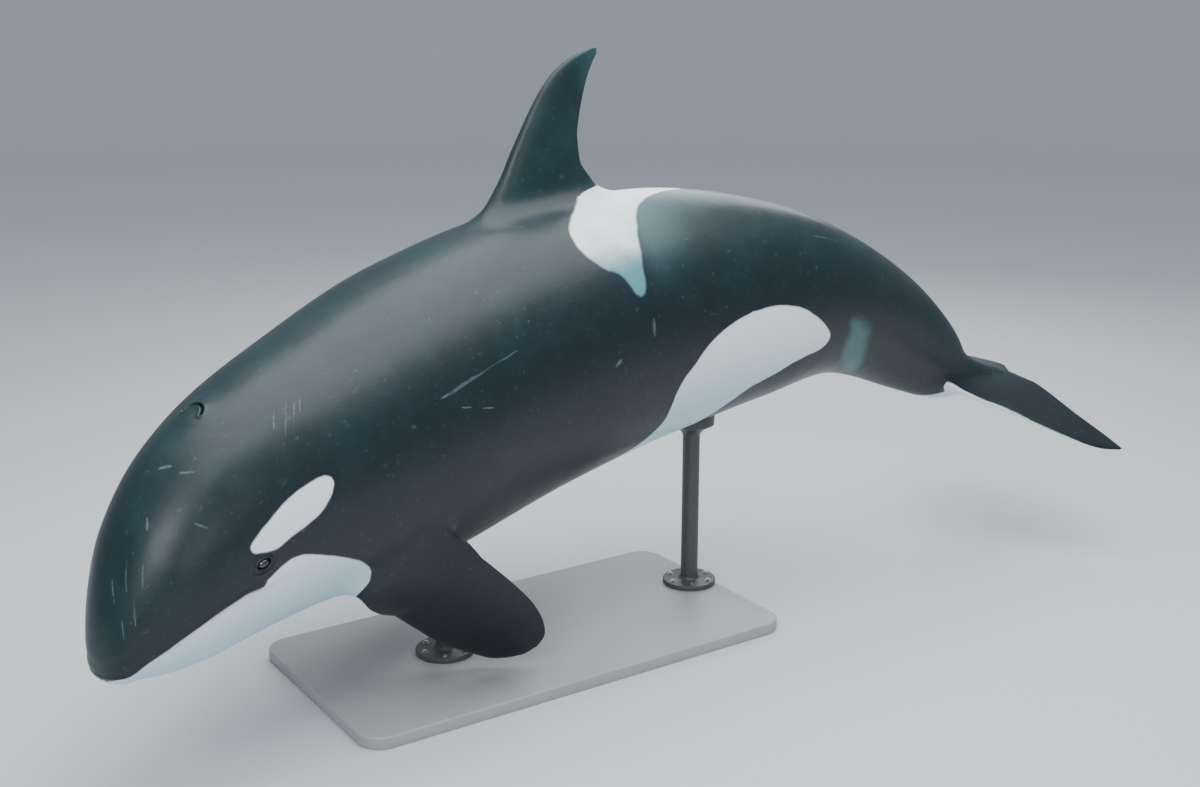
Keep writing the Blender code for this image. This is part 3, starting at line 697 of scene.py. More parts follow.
SADDLE = ((3.48, 104), (3.02, 104), (2.930, 86.0), (2.855, 76.0), (2.785, 68.0), (2.720, 59.5),
          (2.708, 50.5), (2.740, 43.4), (2.790, 37.8), (2.862, 33.6), (2.892, 28.0), (2.920, 23.0),
          (2.966, 23.5), (2.992, 33.0), (3.019, 41.9), (3.042, 49.7), (3.079, 58.4), (3.128, 67.0),
          (3.225, 76.0), (3.345, 83.5), (3.46, 91.0))
TAIL_SMEAR = ((4.30, -3.4), (4.406, -3.9), (4.493, -20.1), (4.60, -48.0), (4.62, -62.0), (4.506, -53.5),
              (4.35, -31.8), (4.313, -12.0))
DARK_MARGIN = 0.045
DARK_TIP = 0.60


def skin_map(x, side_angle):
    """A flat map of the side: distance back, and distance round the body from mid side."""
    half, width = outline(x)[1:]
    return np.stack([x, side_angle * 0.5 * (half + width)], -1)


def patch_outline(rows):
    """Closed smooth curve through a patch's corner points, on the flat map."""
    stations = np.array(rows, float)
    corners = skin_map(stations[:, 0], np.radians(stations[:, 1]))
    before, after, beyond = (np.roll(corners, shift, axis=0) for shift in (1, -1, -2))
    curve = []
    for share in np.linspace(0, 1, 8, endpoint=False):
        curve.append(0.5 * (2 * corners + share * (after - before)
                            + share ** 2 * (2 * before - 5 * corners + 4 * after - beyond)
                            + share ** 3 * (3 * corners - before - 3 * after + beyond)))
    return np.stack(curve, axis=1).reshape(-1, 2)


def patch_distance(spots, rows):
    """Distance inside a patch's outline, negative outside it."""
    curve = patch_outline(rows)
    best = np.full(len(spots), 9.0)
    inside = np.zeros(len(spots), bool)
    for start, end in zip(curve, np.roll(curve, -1, axis=0)):
        run = end - start
        share = np.clip(((spots - start) @ run) / max(run @ run, 1e-12), 0, 1)
        best = np.minimum(best, np.linalg.norm(spots - start - share[:, None] * run, axis=1))
        crosses = (start[1] > spots[:, 1]) != (end[1] > spots[:, 1])
        rise = run[1] if abs(run[1]) > 1e-12 else 1e-12
        level = start[0] + (spots[:, 1] - start[1]) * run[0] / rise
        inside ^= crosses & (spots[:, 0] < level)
    return np.where(inside, best, -best)


def fluke_pale(points):
    """Distance inside the white of the flukes' undersides."""
    out = np.abs(points[:, 1])
    stations = np.array(FLUKE)
    front = smooth_table(stations[:, 0], stations[:, 1], out)
    rear = smooth_table(stations[:, 0], stations[:, 2], out)
    over_edge = ridge(points[:, 0], at=front, width=0.030, height=0.010) * (1 - ramp(out, 0.30, 0.44))
    edge = np.minimum(rear - DARK_MARGIN - points[:, 0], DARK_TIP - out)
    edge = np.minimum(edge, points[:, 0] - front + 0.03 - 0.16 * (1 - ramp(out, 0.06, 0.12)))
    below = fluke_level(out) - points[:, 2] - 0.001 + over_edge
    return np.where(points[:, 0] > FLUKE[0][1], np.minimum(edge, below), -1.0)


def clear_of_fins(distance):
    """Keeps a marking of the body off the fins."""
    return distance * (1 - on_fin) - 0.1 * on_fin


straight = positions(skin.data)
around, proud = body_angle(straight)
side_angle = fold_to_side(around)
spots = skin_map(straight[:, 0], side_angle)
on_fin = ramp(proud, 0.02, 0.06) * ramp(straight[:, 0], 1.0, 1.05)
below_mouth = 0.003 * (ramp(straight[:, 0], 0.0, 0.03) - ramp(straight[:, 0], 0.05, 0.20))
below_mouth = below_mouth - 0.001 - mouth_distance(straight)[0]
underside = patch_distance(spots, UNDERSIDE)
underside = np.where(straight[:, 0] < MOUTH_CORNER, np.minimum(underside, below_mouth), underside)
white = clear_of_fins(np.maximum(patch_distance(spots, EYE_PATCH), underside))
belly_of_tail = clear_of_fins(patch_distance(spots, TAIL_UNDERSIDE))
white = np.maximum(white, np.maximum(belly_of_tail, fluke_pale(straight)))
saddle = clear_of_fins(patch_distance(spots, SADDLE))
smear = clear_of_fins(patch_distance(spots, TAIL_SMEAR))
for layer, values in (("white", white), ("saddle", saddle), ("smear", smear),
                      ("side", side_angle / (math.pi / 2))):
    skin.data.attributes.new(layer, "FLOAT", "POINT").data.foreach_set("value", values.astype(np.float32))
skin.data.attributes.new("straight", "FLOAT_VECTOR", "POINT").data.foreach_set(
    "vector", straight.astype(np.float32).ravel())
skin.data.vertices.foreach_set("co", pose(straight).astype(np.float32).ravel())
skin.data.update()
skin.data.shade_smooth()
print("skin triangles", sum(len(face.vertices) - 2 for face in skin.data.polygons))

# Finish of the skin
# The hide is near black, painted lighter and more teal towards the top of the back as painted light from
# above, and cool white below, with painted cyan shade on the lower white and the lower saddle; it is smooth
# and softly shining, with pale scratches, tooth rakes and faint mottling. A scratch runs between two places,
# each in metres back from the snout and degrees up the side, and has a width in metres.
DARK = (0.0055, 0.0125, 0.0165, 1.0)
# Lighter teal of the dark hide: faint mottling, and painted light on the top of the back.
DARK_TOPLIT_MOTTLE = (0.0085, 0.032, 0.040, 1.0)
WHITE = (0.80, 0.85, 0.88, 1.0)
# Painted shade: cyan grey that the white turns to on its lower parts.
WHITE_PAINTED_SHADE = (0.40, 0.70, 0.78, 1.0)
SADDLE_LOW = (0.10, 0.27, 0.30, 1.0)
SCAR_TINT = (0.19, 0.28, 0.31, 1.0)
SCAR_WANDER = 0.012
SCARS = (
    (1.594, 20.5, 1.880, 21.4, 0.016), (1.720, 20.9, 2.108, 22.1, 0.010), (1.687, 13.6, 1.744, 11.9, 0.008),
    (1.792, 9.8, 1.859, 7.5, 0.008), (0.962, 54.2, 0.905, 46.5, 0.008), (1.022, 54.4, 0.925, 41.0, 0.010),
    (1.044, 52.0, 0.962, 40.4, 0.009), (1.074, 52.4, 1.030, 46.0, 0.007), (0.535, 80.0, 0.568, 72.0, 0.016),
    (0.560, 65.5, 0.595, 58.0, 0.012), (0.385, 68.5, 0.350, 63.0, 0.012), (0.468, 40.0, 0.493, 31.5, 0.009),
    (0.268, 54.5, 0.215, 44.0, 0.008), (0.256, 70.0, 0.180, 58.0, 0.007), (0.190, 79.0, 0.140, 68.5, 0.008),
    (0.183, 47.5, 0.130, 31.5, 0.006), (0.121, 52.5, 0.080, 37.5, 0.006), (2.978, 12.4, 2.965, 5.0, 0.022),
    (2.684, -0.8, 2.728, 1.0, 0.020), (2.43, 79.0, 2.56, 70.0, 0.007), (3.95, 52.0, 4.20, 55.0, 0.005),
    (1.42, 118.0, 1.86, 126.0, 0.007), (2.30, 152.0, 2.62, 146.0, 0.006), (0.72, 132.0, 0.81, 140.0, 0.006),
)


def feed(tree, node, inputs):
    """Sets a node's inputs, each to a value or to another node's socket."""
    for key, value in inputs.items():
        if isinstance(value, bpy.types.NodeSocket):
            tree.links.new(value, node.inputs[key])
        else:
            node.inputs[key].default_value = value


def put(tree, kind, inputs=None, **settings):
    """Adds a node with its settings and inputs."""
    made = tree.nodes.new(kind)
    for name, value in settings.items():
        setattr(made, name, value)
    feed(tree, made, inputs or {})
    return made


def reckon(tree, operation, *values, clamp=False):
    """Math node; returns its output socket."""
    made = put(tree, "ShaderNodeMath", dict(enumerate(values)), operation=operation, use_clamp=clamp)
    return made.outputs[0]


def times(tree, first, second):
    return reckon(tree, "MULTIPLY", first, second)


def plus(tree, first, second):
    return reckon(tree, "ADD", first, second)


def step_up(tree, value, low, high):
    """Smooth step of a value from 0 at low to 1 at high."""
    return put(tree, "ShaderNodeMapRange", {"Value": value, "From Min": low, "From Max": high},
               interpolation_type="SMOOTHSTEP").outputs["Result"]


def mix_colour(tree, share, first, second, blend="MIX"):
    return put(tree, "ShaderNodeMix", {0: share, 6: first, 7: second},
               data_type="RGBA", blend_type=blend).outputs[2]


def noise(tree, position, scale, detail=3.0, roughness=0.55):
    return put(tree, "ShaderNodeTexNoise", {"Vector": position, "Scale": scale, "Detail": detail,
                                            "Roughness": roughness}).outputs["Fac"]


def new_group(name, inputs, outputs):
    """Empty shader group with named sockets; returns the tree, its input node and its output node."""
    tree = bpy.data.node_groups.new(name, "ShaderNodeTree")
    for label, kind, value in inputs:
        socket = tree.interface.new_socket(label, in_out="INPUT", socket_type=kind)
        socket.default_value = value
    for label, kind in outputs:
        tree.interface.new_socket(label, in_out="OUTPUT", socket_type=kind)
    return tree, tree.nodes.new("NodeGroupInput"), tree.nodes.new("NodeGroupOutput")


def new_material(name):
    """Material with its tree and its main shader."""
    material = bpy.data.materials.new(name)
    material.use_nodes = True
    return material, material.node_tree, material.node_tree.nodes["Principled BSDF"]


def bump(tree, height, strength):
    made = put(tree, "ShaderNodeBump", {"Height": height, "Strength": strength, "Distance": 1.0})
    return made.outputs["Normal"]


def scar_group():
    """Thin line between two points, tapering to both ends."""
    tree, into, out = new_group("scar", (
        ("Position", "NodeSocketVector", (0, 0, 0)), ("Start", "NodeSocketVector", (0, 0, 0)),
        ("End", "NodeSocketVector", (1, 0, 0)), ("Width", "NodeSocketFloat", 0.006)),
        (("Mask", "NodeSocketFloat"),))

    def vector(operation, *values, output="Vector"):
        return put(tree, "ShaderNodeVectorMath", dict(enumerate(values)), operation=operation).outputs[output]

    offset = vector("SUBTRACT", into.outputs["Position"], into.outputs["Start"])
    run = vector("SUBTRACT", into.outputs["End"], into.outputs["Start"])
    share = reckon(tree, "DIVIDE", vector("DOT_PRODUCT", offset, run, output="Value"),
                   vector("DOT_PRODUCT", run, run, output="Value"), clamp=True)
    nearest = vector("SCALE", run)
    feed(tree, nearest.node, {"Scale": share})
    away = vector("LENGTH", vector("SUBTRACT", offset, nearest), output="Value")
    taper = times(tree, share, reckon(tree, "SUBTRACT", 1.0, share))
    taper = reckon(tree, "POWER", times(tree, taper, 4.0), 0.5)
    reach = times(tree, into.outputs["Width"], taper)
    ratio = reckon(tree, "DIVIDE", away, reckon(tree, "MAXIMUM", reach, 0.0001))
    feed(tree, out, {"Mask": reckon(tree, "SUBTRACT", 1.0, step_up(tree, ratio, 0.0, 1.0))})
    return tree


def edge_group():
    """Turns a distance inside an outline into a mask whose edge is slightly uneven."""
    tree, into, out = new_group("marking_edge", (
        ("Position", "NodeSocketVector", (0, 0, 0)), ("Distance", "NodeSocketFloat", 0.0),
        ("Softness", "NodeSocketFloat", 0.006), ("Unevenness", "NodeSocketFloat", 0.008)),
        (("Mask", "NodeSocketFloat"),))
    wander = reckon(tree, "SUBTRACT", noise(tree, into.outputs["Position"], 14.0, 4.0), 0.5)
    wander = times(tree, wander, into.outputs["Unevenness"])
    distance = plus(tree, into.outputs["Distance"], wander)
    low = times(tree, into.outputs["Softness"], -1.0)
    feed(tree, out, {"Mask": step_up(tree, distance, low, into.outputs["Softness"])})
    return tree


def place_group(tree, group, **inputs):
    return put(tree, "ShaderNodeGroup", inputs, node_tree=group)


def skin_material():
    """Near black hide with painted light on the top of the back, its white and saddle with painted shade
    below, the patch on its tail and its scratches.
    """
    material, tree, shader = new_material("orca_hide")
    place = put(tree, "ShaderNodeAttribute", attribute_name="straight").outputs["Vector"]
    edge = edge_group()

    def layer(name):
        return put(tree, "ShaderNodeAttribute", attribute_name=name).outputs["Fac"]

    def marking(name, softness, unevenness):
        return place_group(tree, edge, Position=place, Distance=layer(name),
                           Softness=softness, Unevenness=unevenness).outputs["Mask"]

    def grain(scale, detail=3.0, roughness=0.55):
        return noise(tree, place, scale, detail, roughness)

    def tinted(share, strength, colour, tint):
        return mix_colour(tree, times(tree, share, strength), colour, tint)

    white_mask = marking("white", 0.005, 0.010)
    saddle_mask = marking("saddle", 0.009, 0.018)
    smear_mask = marking("smear", 0.045, 0.06)
    side = layer("side")

    mottle = step_up(tree, grain(5.5, 4.0), 0.42, 0.72)
    # Painted light: the dark hide turns lighter teal towards the top of the back, as if lit from above,
    # broken up by the mottling.
    high = step_up(tree, side, -0.35, 0.9)
    mottle_and_toplight = times(tree, plus(tree, times(tree, mottle, 0.45), 0.55), high)
    colour = mix_colour(tree, mottle_and_toplight, DARK, DARK_TOPLIT_MOTTLE)
    speckle = step_up(tree, grain(34.0, 4.0, 0.7), 0.60, 0.78)
    colour = tinted(speckle, 0.22, colour, SCAR_TINT)
    colour = tinted(smear_mask, 0.45, colour, SADDLE_LOW)

    # Painted shade: the lower part of the saddle turns darker grey-green, as if in shade.
    saddle_painted_shade = step_up(tree, plus(tree, side, times(tree, grain(7.0), 0.10)), 0.62, 0.42)
    saddle_colour = mix_colour(tree, saddle_painted_shade, WHITE, SADDLE_LOW)
    saddle_colour = tinted(mottle, 0.18, saddle_colour, SADDLE_LOW)
    parts = put(tree, "ShaderNodeSeparateXYZ", {"Vector": place})
    behind = step_up(tree, parts.outputs["X"], 2.98, 3.12)
    haze = times(tree, step_up(tree, layer("saddle"), -0.34, 0.02), behind)
    haze = times(tree, haze, step_up(tree, side, 0.20, 0.55))
    colour = tinted(haze, 0.30, colour, SADDLE_LOW)
    colour = mix_colour(tree, saddle_mask, colour, saddle_colour)

    # Painted shade: the white turns cyan grey towards the lower side, as if in shade.
    painted_shade = step_up(tree, plus(tree, side, times(tree, grain(4.0), 0.12)), 0.0, -0.42)
    white_colour = tinted(painted_shade, 0.75, WHITE, WHITE_PAINTED_SHADE)
    stain = step_up(tree, grain(22.0, 4.0, 0.65), 0.55, 0.80)
    white_colour = tinted(stain, 0.10, white_colour, SCAR_TINT)
    colour = mix_colour(tree, white_mask, colour, white_colour)

    scar = scar_group()
    wander = put(tree, "ShaderNodeTexNoise", {"Vector": place, "Scale": 9.0}).outputs["Color"]
    wander = put(tree, "ShaderNodeVectorMath", {0: wander, 1: (0.5,) * 3}, operation="SUBTRACT").outputs[0]
    wander = put(tree, "ShaderNodeVectorMath", {0: wander, 1: (SCAR_WANDER,) * 3, 2: place},
                 operation="MULTIPLY_ADD").outputs[0]
    marks = 0.0
    for back_from, raised_from, back_to, raised_to, width in SCARS:
        ends = body_point(np.array([back_from, back_to]), math.pi - np.radians([raised_from, raised_to]))
        mask = place_group(tree, scar, Position=wander, Start=tuple(ends[0]), End=tuple(ends[1]),
                           Width=0.75 * width).outputs["Mask"]
        marks = reckon(tree, "MAXIMUM", marks, mask)
    marks = times(tree, marks, step_up(tree, grain(48.0, 4.0, 0.7), 0.28, 0.60))
    stretched = put(tree, "ShaderNodeMapping", {"Vector": place, "Scale": (1.0, 9.0, 9.0)})
    hairlines = step_up(tree, noise(tree, stretched.outputs["Vector"], 9.0, 2.0), 0.700, 0.730)
    marks_all = reckon(tree, "MAXIMUM", marks, times(tree, hairlines, 0.22))
    colour = tinted(marks_all, 0.42, colour, SCAR_TINT)

    rough = plus(tree, times(tree, grain(11.0, 4.0), 0.16), 0.30)
    rough = plus(tree, rough, times(tree, marks_all, 0.15))
    fine = grain(160.0, 3.0)
    broad = grain(9.0, 2.0)
    height = plus(tree, times(tree, fine, 0.0006), times(tree, broad, 0.004))
    height = reckon(tree, "SUBTRACT", height, times(tree, marks, 0.0012))
    feed(tree, shader, {"Base Color": colour, "Roughness": rough, "Specular IOR Level": 0.38,
                        "Coat Weight": 0.08, "Coat Roughness": 0.22, "Normal": bump(tree, height, 0.5)})
    return material


skin.data.materials.clear()
skin.data.materials.append(skin_material())
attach(skin, "root")
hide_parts("head", "lower_jaw", "trunk_front", "trunk_middle", "trunk_rear", "tail_stock",
            "dorsal_fin", "flipper_left", "flipper_right", "fluke_left", "fluke_right")

# Eyes
# Each eye is a small dark ball, a little flattened, set deep between the lids.
# A brown ring shows round the wide pupil, and the wet surface is glossy.
EYE_ROWS = 40
EYE_COLUMNS = 56
POLE_TILT = 0.02
PUPIL = (0.002, 0.002, 0.003, 1.0)
IRIS = ((0.006, 0.004, 0.003, 1.0), (0.026, 0.015, 0.010, 1.0))
EYE_WHITE = ((0.008, 0.006, 0.006, 1.0), (0.020, 0.015, 0.014, 1.0))


def eye_material():
    """Pupil, ring and dark veined white, by the distance from the middle of the eye."""
    material, tree, shader = new_material("wet_eye")
    look = put(tree, "ShaderNodeAttribute", attribute_name="look").outputs["Vector"]
    parts = put(tree, "ShaderNodeSeparateXYZ", {"Vector": look})
    away = put(tree, "ShaderNodeVectorMath", {0: look, 1: (1, 0, 1)}, operation="MULTIPLY").outputs["Vector"]
    radius = put(tree, "ShaderNodeVectorMath", {0: away}, operation="LENGTH").outputs["Value"]
    turn = reckon(tree, "ARCTAN2", parts.outputs["X"], parts.outputs["Z"])
    spokes = put(tree, "ShaderNodeTexNoise", {"W": turn, "Scale": 9.0, "Detail": 3.0},
                 noise_dimensions="1D").outputs["Fac"]
    iris = mix_colour(tree, spokes, *IRIS)
    colour = mix_colour(tree, step_up(tree, radius, 0.24, 0.30), PUPIL, iris)
    veins = noise(tree, look, 9.0, 5.0)
    white_of_eye = mix_colour(tree, veins, *EYE_WHITE)
    colour = mix_colour(tree, step_up(tree, radius, 0.50, 0.60), colour, white_of_eye)
    rough = plus(tree, times(tree, veins, 0.05), 0.03)
    feed(tree, shader, {"Base Color": colour, "Roughness": rough, "Coat Weight": 1.0, "Coat Roughness": 0.02})
    return material


wet_eye = eye_material()
for eye_side, eye_label in ((1, "right"), (-1, "left")):
    here, back, out, up = eye_frame(eye_side)
    middle = pose(here - out * EYE_SINK)
    axes = [pose(here + direction * 0.01) - pose(here) for direction in (back, out, up)]
    axes = np.array([axis / np.linalg.norm(axis) for axis in axes])
    tilt = np.linspace(POLE_TILT, math.pi - POLE_TILT, EYE_ROWS)
    spin = np.linspace(0, 2 * math.pi, EYE_COLUMNS, endpoint=False)
    ball = np.array([[(math.sin(t) * math.cos(s), math.cos(t), math.sin(t) * math.sin(s)) for s in spin]
                     for t in tilt]).reshape(-1, 3)
    ball = np.concatenate([ball, [(0, 1, 0), (0, -1, 0)]])
    bulge = 1 + 0.05 * np.clip((ball[:, 1] - 0.80) / 0.20, 0, 1)[:, None] * np.array([0, 1, 0])
    shaped = ball * bulge * np.array(EYE_RADII)
    eye = new_mesh_object("eye_ball_" + eye_label, middle + shaped @ axes,
                          pointed_faces(EYE_ROWS, EYE_COLUMNS))
    eye.data.attributes.new("look", "FLOAT_VECTOR", "POINT").data.foreach_set(
        "vector", ball.astype(np.float32).ravel())
    eye.data.materials.append(wet_eye)
    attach(eye, "root")
    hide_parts("eye_" + eye_label)

# Base plate
# A thick painted board lies flat on the floor, its corners rounded in plan and its edges eased,
# with a shallow shadow line cut round the side just above the floor.
PLATE_CORNER = 0.12
PLATE_ROUNDING = 0.008
PLATE_SHADOW_LINE = ((0.0, 0.004), (0.010, 0.004), (0.0115, 0.0005), (0.013, 0.0))
PLATE_TINT = (0.36, 0.365, 0.37, 1.0)
DUST_TINT = (0.75, 0.74, 0.72, 1.0)
plate_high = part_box("stand_base")[1]


def wear_group():
    """Slow cloudiness and fine orange-peel of a sprayed coat of paint, with a few dull rubs."""
    tree, into, out = new_group("sprayed_paint", (
        ("Position", "NodeSocketVector", (0, 0, 0)), ("Tint", "NodeSocketColor", (0.5, 0.5, 0.5, 1)),
        ("Peel", "NodeSocketFloat", 0.0002)),
        (("Color", "NodeSocketColor"), ("Rough", "NodeSocketFloat"), ("Height", "NodeSocketFloat")))
    place = into.outputs["Position"]
    cloud = noise(tree, place, 2.2, 5.0)
    rub = step_up(tree, noise(tree, place, 6.0, 6.0, 0.7), 0.60, 0.74)
    dust = step_up(tree, noise(tree, place, 90.0, 4.0, 0.7), 0.58, 0.75)
    colour = mix_colour(tree, cloud, (0.88, 0.88, 0.88, 1.0), (1.08, 1.08, 1.08, 1.0))
    colour = mix_colour(tree, 1.0, into.outputs["Tint"], colour, blend="MULTIPLY")
    colour = mix_colour(tree, times(tree, dust, 0.10), colour, DUST_TINT)
    rough = plus(tree, plus(tree, 0.38, times(tree, cloud, 0.14)), times(tree, rub, 0.12))
    peel = times(tree, noise(tree, place, 260.0, 2.0), into.outputs["Peel"])
    feed(tree, out, {"Color": colour, "Rough": rough, "Height": peel})
    return tree


sprayed_paint = wear_group()


def paint_material(name, tint, peel, metallic=0.0):
    """A coat of paint or bare metal in one tint, with a relief of the height given by peel."""
    material, tree, shader = new_material(name)
    where = put(tree, "ShaderNodeTexCoord").outputs["Object"]
    paint = place_group(tree, sprayed_paint, Position=where, Tint=tint, Peel=peel).outputs
    feed(tree, shader, {"Base Color": paint["Color"], "Roughness": paint["Rough"],
                        "Normal": bump(tree, paint["Height"], 0.6), "Metallic": metallic})
    return material


def plate_ring(height, inset):
    """Outline of the board at one height, its four corners rounded."""
    ring = []
    radius = PLATE_CORNER - inset
    for across, along, first in ((1, 1, 0.0), (-1, 1, 0.5), (-1, -1, 1.0), (1, -1, 1.5)):
        for step in range(13):
            turn = math.pi * (first + 0.5 * step / 12)
            ring.append((across * (plate_high.x - PLATE_CORNER) + radius * math.cos(turn),
                         along * (plate_high.y - PLATE_CORNER) + radius * math.sin(turn), height))
    return ring


plate_profile = list(PLATE_SHADOW_LINE)
for turn in np.linspace(0, math.pi / 2, 7):
    plate_profile.append((plate_high.z - PLATE_ROUNDING * (1 - math.sin(turn)),
                          PLATE_ROUNDING * (1 - math.cos(turn))))
plate = closed_loft("base_plate", [plate_ring(*row) for row in plate_profile], 35)
plate.data.materials.append(paint_material("base_paint", PLATE_TINT, 0.0003))
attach(plate, "root")
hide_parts("stand_base")

# Rods
# Each rod is a steel tube with a round foot flange welded on below and a flared cup above, whose rim is
# ground to the belly. A thin dark rubber pad lies between the cup and the skin.
ROD_RADIUS = 0.045
FOOT_RADIUS = 0.14
FOOT_THICKNESS = 0.025
CUP_RADIUS = 0.12
CUP_DEPTH = 0.10
PAD_THICKNESS = 0.008
PAD_LIP = 0.003
FOOT_EASE = 0.005
WELD_FILLET = 0.018
FLARE_HEIGHT = CUP_DEPTH - 0.035
FLARE_SHARE = 0.97
BELOW_BELLY = 0.45
ROD_SIDES = 96
ROD_SHARP = 32
ROD_TINT = (0.055, 0.058, 0.062, 1.0)
RUBBER_TINT = (0.012, 0.012, 0.013, 1.0)
skin_tree = BVHTree.FromObject(skin, bpy.context.evaluated_depsgraph_get())
spin = np.linspace(0, 2 * math.pi, ROD_SIDES, endpoint=False)


def belly_height(x, y, start):
    """Height of the skin straight above a point."""
    hit = skin_tree.ray_cast(Vector((x, y, start)), Vector((0, 0, 1)))[0]
    return hit.z


def lathe_rings(x, y, rows):
    """Level circles about an upright line, from rows of height and radius."""
    return [np.stack([x + radius * np.cos(spin), y + radius * np.sin(spin), np.full(ROD_SIDES, height)], -1)
            for height, radius in rows]


def quarter_round(steps):
    """Steps round a quarter of a circle of radius 1: drop from its top, and inset from its side."""
    return [(1 - math.sin(turn), 1 - math.cos(turn)) for turn in np.linspace(0, math.pi / 2, steps)]


def belly_rings(x, y, start, radii, gap):
    """Rings that lie a set gap under the belly."""
    rings = []
    for radius in radii:
        across = x + radius * np.cos(spin)
        along = y + radius * np.sin(spin)
        heights = [belly_height(a, b, start) - gap for a, b in zip(across, along)]
        rings.append(np.stack([across, along, heights], -1))
    return rings


rod_paint = paint_material("rod_paint", ROD_TINT, 0.00022)
rubber = paint_material("pad_rubber", RUBBER_TINT, 0.0006)
foot_places = []
for rod_label in ("front", "rear"):
    low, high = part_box("stand_rod_" + rod_label)
    x = 0.5 * (low.x + high.x)
    y = 0.5 * (low.y + high.y)
    foot_places.append((x, y, low.z))
    start = float(belly_height(x, y, BELOW_BELLY)) - CUP_DEPTH
    under = start - 0.02
    foot_top = low.z + FOOT_THICKNESS
    rows = [(low.z, FOOT_RADIUS - 0.0015), (low.z + 0.0015, FOOT_RADIUS)]
    for drop, inset in quarter_round(5):
        rows.append((foot_top - FOOT_EASE * drop, FOOT_RADIUS - FOOT_EASE * inset))
    for drop, inset in quarter_round(6):
        rows.append((foot_top + WELD_FILLET * inset, ROD_RADIUS + WELD_FILLET * drop))
    for share in np.linspace(0, 1, 14):
        rows.append((start + share * FLARE_HEIGHT,
                     ROD_RADIUS + (CUP_RADIUS - ROD_RADIUS) * share ** 2 * FLARE_SHARE))
    rings = lathe_rings(x, y, rows)
    rim = belly_rings(x, y, under, (CUP_RADIUS, CUP_RADIUS, CUP_RADIUS - 0.004, 0.07, 0.02), PAD_THICKNESS)
    rim[0][:, 2] -= 0.004
    rod = closed_loft("rod_" + rod_label, rings + rim, ROD_SHARP)
    rod.data.materials.append(rod_paint)
    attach(rod, "root")
    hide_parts("stand_rod_" + rod_label)

    pad_radii = (0.02, 0.07, CUP_RADIUS, CUP_RADIUS + PAD_LIP)
    pad_below = belly_rings(x, y, under, pad_radii, PAD_THICKNESS - 0.0004)
    pad_above = belly_rings(x, y, under, pad_radii[::-1], -0.001)
    pad_below[-1][:, 2] += 0.002
    pad = closed_loft("pad_" + rod_label, pad_below + pad_above, ROD_SHARP)
    pad.data.materials.append(rubber)
    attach(pad, "root")

# Foot bolts
# Six hexagon bolts with washers hold each foot flange to the board.
# One geometry tree sets them out on a circle from named sizes.
BOLT_COUNT = 6
BOLT_CIRCLE = 0.108
BOLT_HEAD = 0.0105
BOLT_HEIGHT = 0.008
WASHER_RADIUS = 0.0145
WASHER_THICKNESS = 0.002
BOLT_TINT = (0.42, 0.42, 0.41, 1.0)


def bolt_tree(material):
    """Bolts with washers in a circle, each turned a little differently."""
    tree = bpy.data.node_groups.new("bolt_circle", "GeometryNodeTree")
    for label, kind in (("Count", "Int"), ("Circle", "Float"), ("Head", "Float"), ("Height", "Float"),
                        ("Centre", "Vector")):
        tree.interface.new_socket(label, in_out="INPUT", socket_type="NodeSocket" + kind)
    tree.interface.new_socket("Geometry", in_out="OUTPUT", socket_type="NodeSocketGeometry")
    given = tree.nodes.new("NodeGroupInput").outputs
    out = tree.nodes.new("NodeGroupOutput")

    def shape(kind, inputs):
        return put(tree, "GeometryNode" + kind, inputs).outputs[0]

    circle = shape("MeshCircle", {"Vertices": given["Count"], "Radius": given["Circle"]})
    head = shape("MeshCylinder", {"Vertices": 6, "Radius": given["Head"], "Depth": given["Height"]})
    washer = shape("MeshCylinder", {"Vertices": 28, "Radius": WASHER_RADIUS, "Depth": WASHER_THICKNESS})
    lift = plus(tree, times(tree, given["Height"], 0.5), WASHER_THICKNESS)
    lift = put(tree, "ShaderNodeCombineXYZ", {"Z": lift}).outputs[0]
    head = shape("Transform", {"Geometry": head, "Translation": lift})
    washer = shape("Transform", {"Geometry": washer, "Translation": (0, 0, 0.5 * WASHER_THICKNESS)})
    bolt = tree.nodes.new("GeometryNodeJoinGeometry")
    tree.links.new(head, bolt.inputs[0])
    tree.links.new(washer, bolt.inputs[0])
    spread = put(tree, "FunctionNodeRandomValue", {"Min": (0, 0, 0), "Max": (0, 0, 1.05), "Seed": 4},
                 data_type="FLOAT_VECTOR").outputs["Value"]
    many = shape("InstanceOnPoints", {"Points": circle, "Instance": bolt.outputs[0], "Rotation": spread})
    placed = shape("Transform", {"Geometry": many, "Translation": given["Centre"]})
    real = shape("RealizeInstances", {"Geometry": placed})
    finished = shape("SetMaterial", {"Geometry": real, "Material": material})
    tree.links.new(finished, out.inputs[0])
    return tree


bolts_by_circle = bolt_tree(paint_material("bolt_steel", BOLT_TINT, 0.0001, metallic=1.0))
for rod_label, (x, y, floor_level) in zip(("front", "rear"), foot_places):
    bolts = new_mesh_object("bolts_" + rod_label, [], [])
    setting = bolts.modifiers.new("bolts", "NODES")
    setting.node_group = bolts_by_circle
    wanted = {"Count": BOLT_COUNT, "Circle": BOLT_CIRCLE, "Head": BOLT_HEAD, "Height": BOLT_HEIGHT,
              "Centre": (x, y, floor_level + FOOT_THICKNESS)}
    for socket in bolts_by_circle.interface.items_tree:
        if socket.in_out == "INPUT":
            setting[socket.identifier] = wanted[socket.name]
    made = bpy.data.meshes.new_from_object(bolts.evaluated_get(bpy.context.evaluated_depsgraph_get()))
    bolts.modifiers.clear()
    bolts.data = made
    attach(bolts, "root")

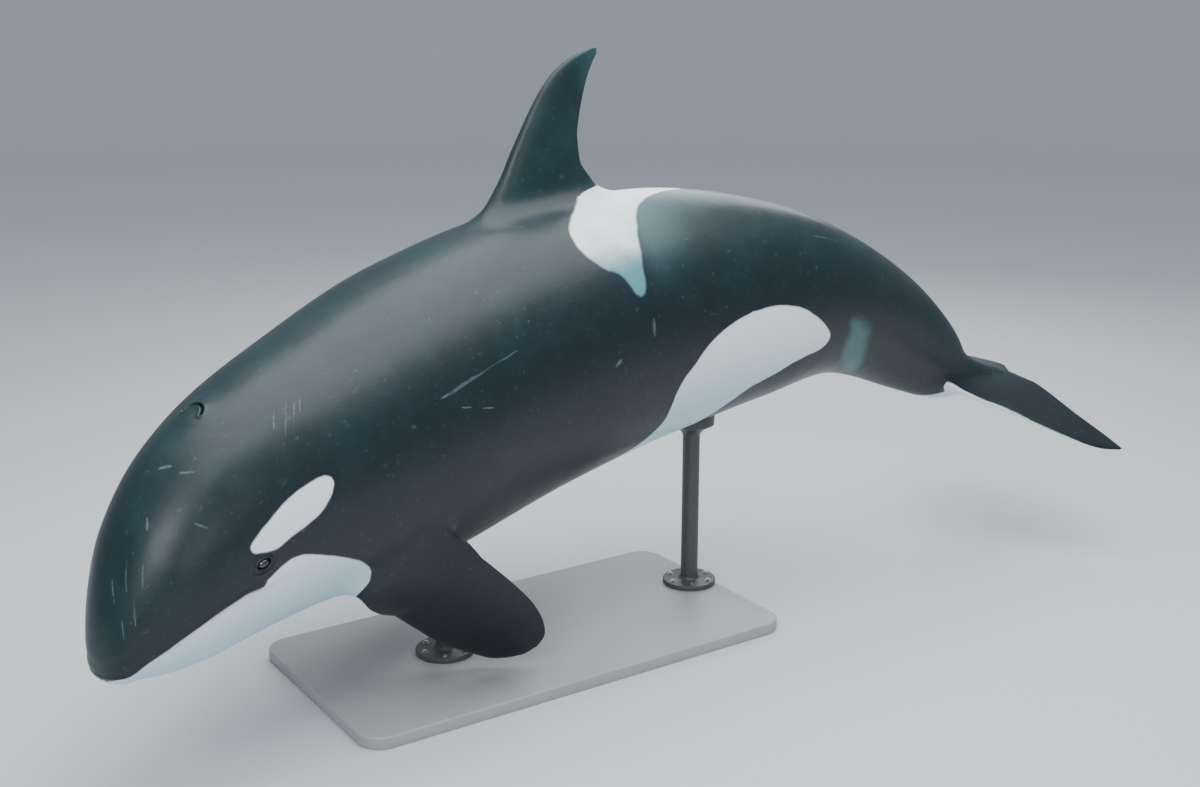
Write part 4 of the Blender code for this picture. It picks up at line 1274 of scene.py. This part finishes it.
# Floor and light
# A wide pale floor turns up into a plain wall far behind, so that no edge shows from any side.
# Soft panels overhead light the back, and weak ones at the sides lift the underside.
FLOOR_FLAT = 24.0
FLOOR_CURVE = 7.0
FLOOR_WALL = 24.0
FLOOR_TINT = (0.62, 0.64, 0.66, 1.0)
SKY_TINT = (0.85, 0.93, 1.0, 1.0)
LIGHTS = (
    ("overhead", (0.4, -0.6, 6.8), (0.3, 0.0, 1.0), 7.0, 620.0),
    ("front", (-6.5, -7.0, 6.0), (-0.2, 0.0, 1.1), 4.5, 430.0),
    ("rear", (6.0, 5.0, 6.0), (0.5, 0.0, 1.2), 5.0, 260.0),
    ("low_side", (-1.0, -10.0, 3.4), (0.0, 0.0, 1.0), 3.0, 80.0),
)
floor_rows = [(0.0, 3.0), (0.0, 9.0), (0.0, 16.0)]
for turn in np.linspace(0, math.pi / 2, 10):
    floor_rows.append((FLOOR_CURVE * (1 - math.cos(turn)), FLOOR_FLAT + FLOOR_CURVE * math.sin(turn)))
floor_rows.append((FLOOR_WALL, FLOOR_FLAT + FLOOR_CURVE))
floor_rings = lathe_rings(0.0, 0.0, floor_rows)
floor_faces = [face[::-1] for face in loft_faces(len(floor_rings), ROD_SIDES)]
floor_faces.append(tuple(range(ROD_SIDES)))
floor_mesh = bpy.data.meshes.new("floor")
floor_mesh.from_pydata([tuple(p) for p in np.concatenate(floor_rings)], [], floor_faces)
floor_mesh.shade_smooth()
floor = bpy.data.objects.new("floor", floor_mesh)
bpy.context.scene.collection.objects.link(floor)
floor_paint, floor_tree, floor_shader = new_material("floor_paint")
feed(floor_tree, floor_shader, {"Base Color": FLOOR_TINT, "Roughness": 0.75})
floor.data.materials.append(floor_paint)

for light_name, place, aim, size, power in LIGHTS:
    light_data = bpy.data.lights.new(light_name, "AREA")
    light_data.shape = "SQUARE"
    light_data.size = size
    light_data.energy = power
    light = bpy.data.objects.new(light_name, light_data)
    light.location = place
    light.rotation_mode = "QUATERNION"
    light.rotation_quaternion = (Vector(aim) - Vector(place)).to_track_quat("-Z", "Y")
    bpy.context.scene.collection.objects.link(light)
world = bpy.data.worlds.new("studio")
world.use_nodes = True
feed(world.node_tree, world.node_tree.nodes["Background"], {"Color": SKY_TINT, "Strength": 0.72})
bpy.context.scene.world = world
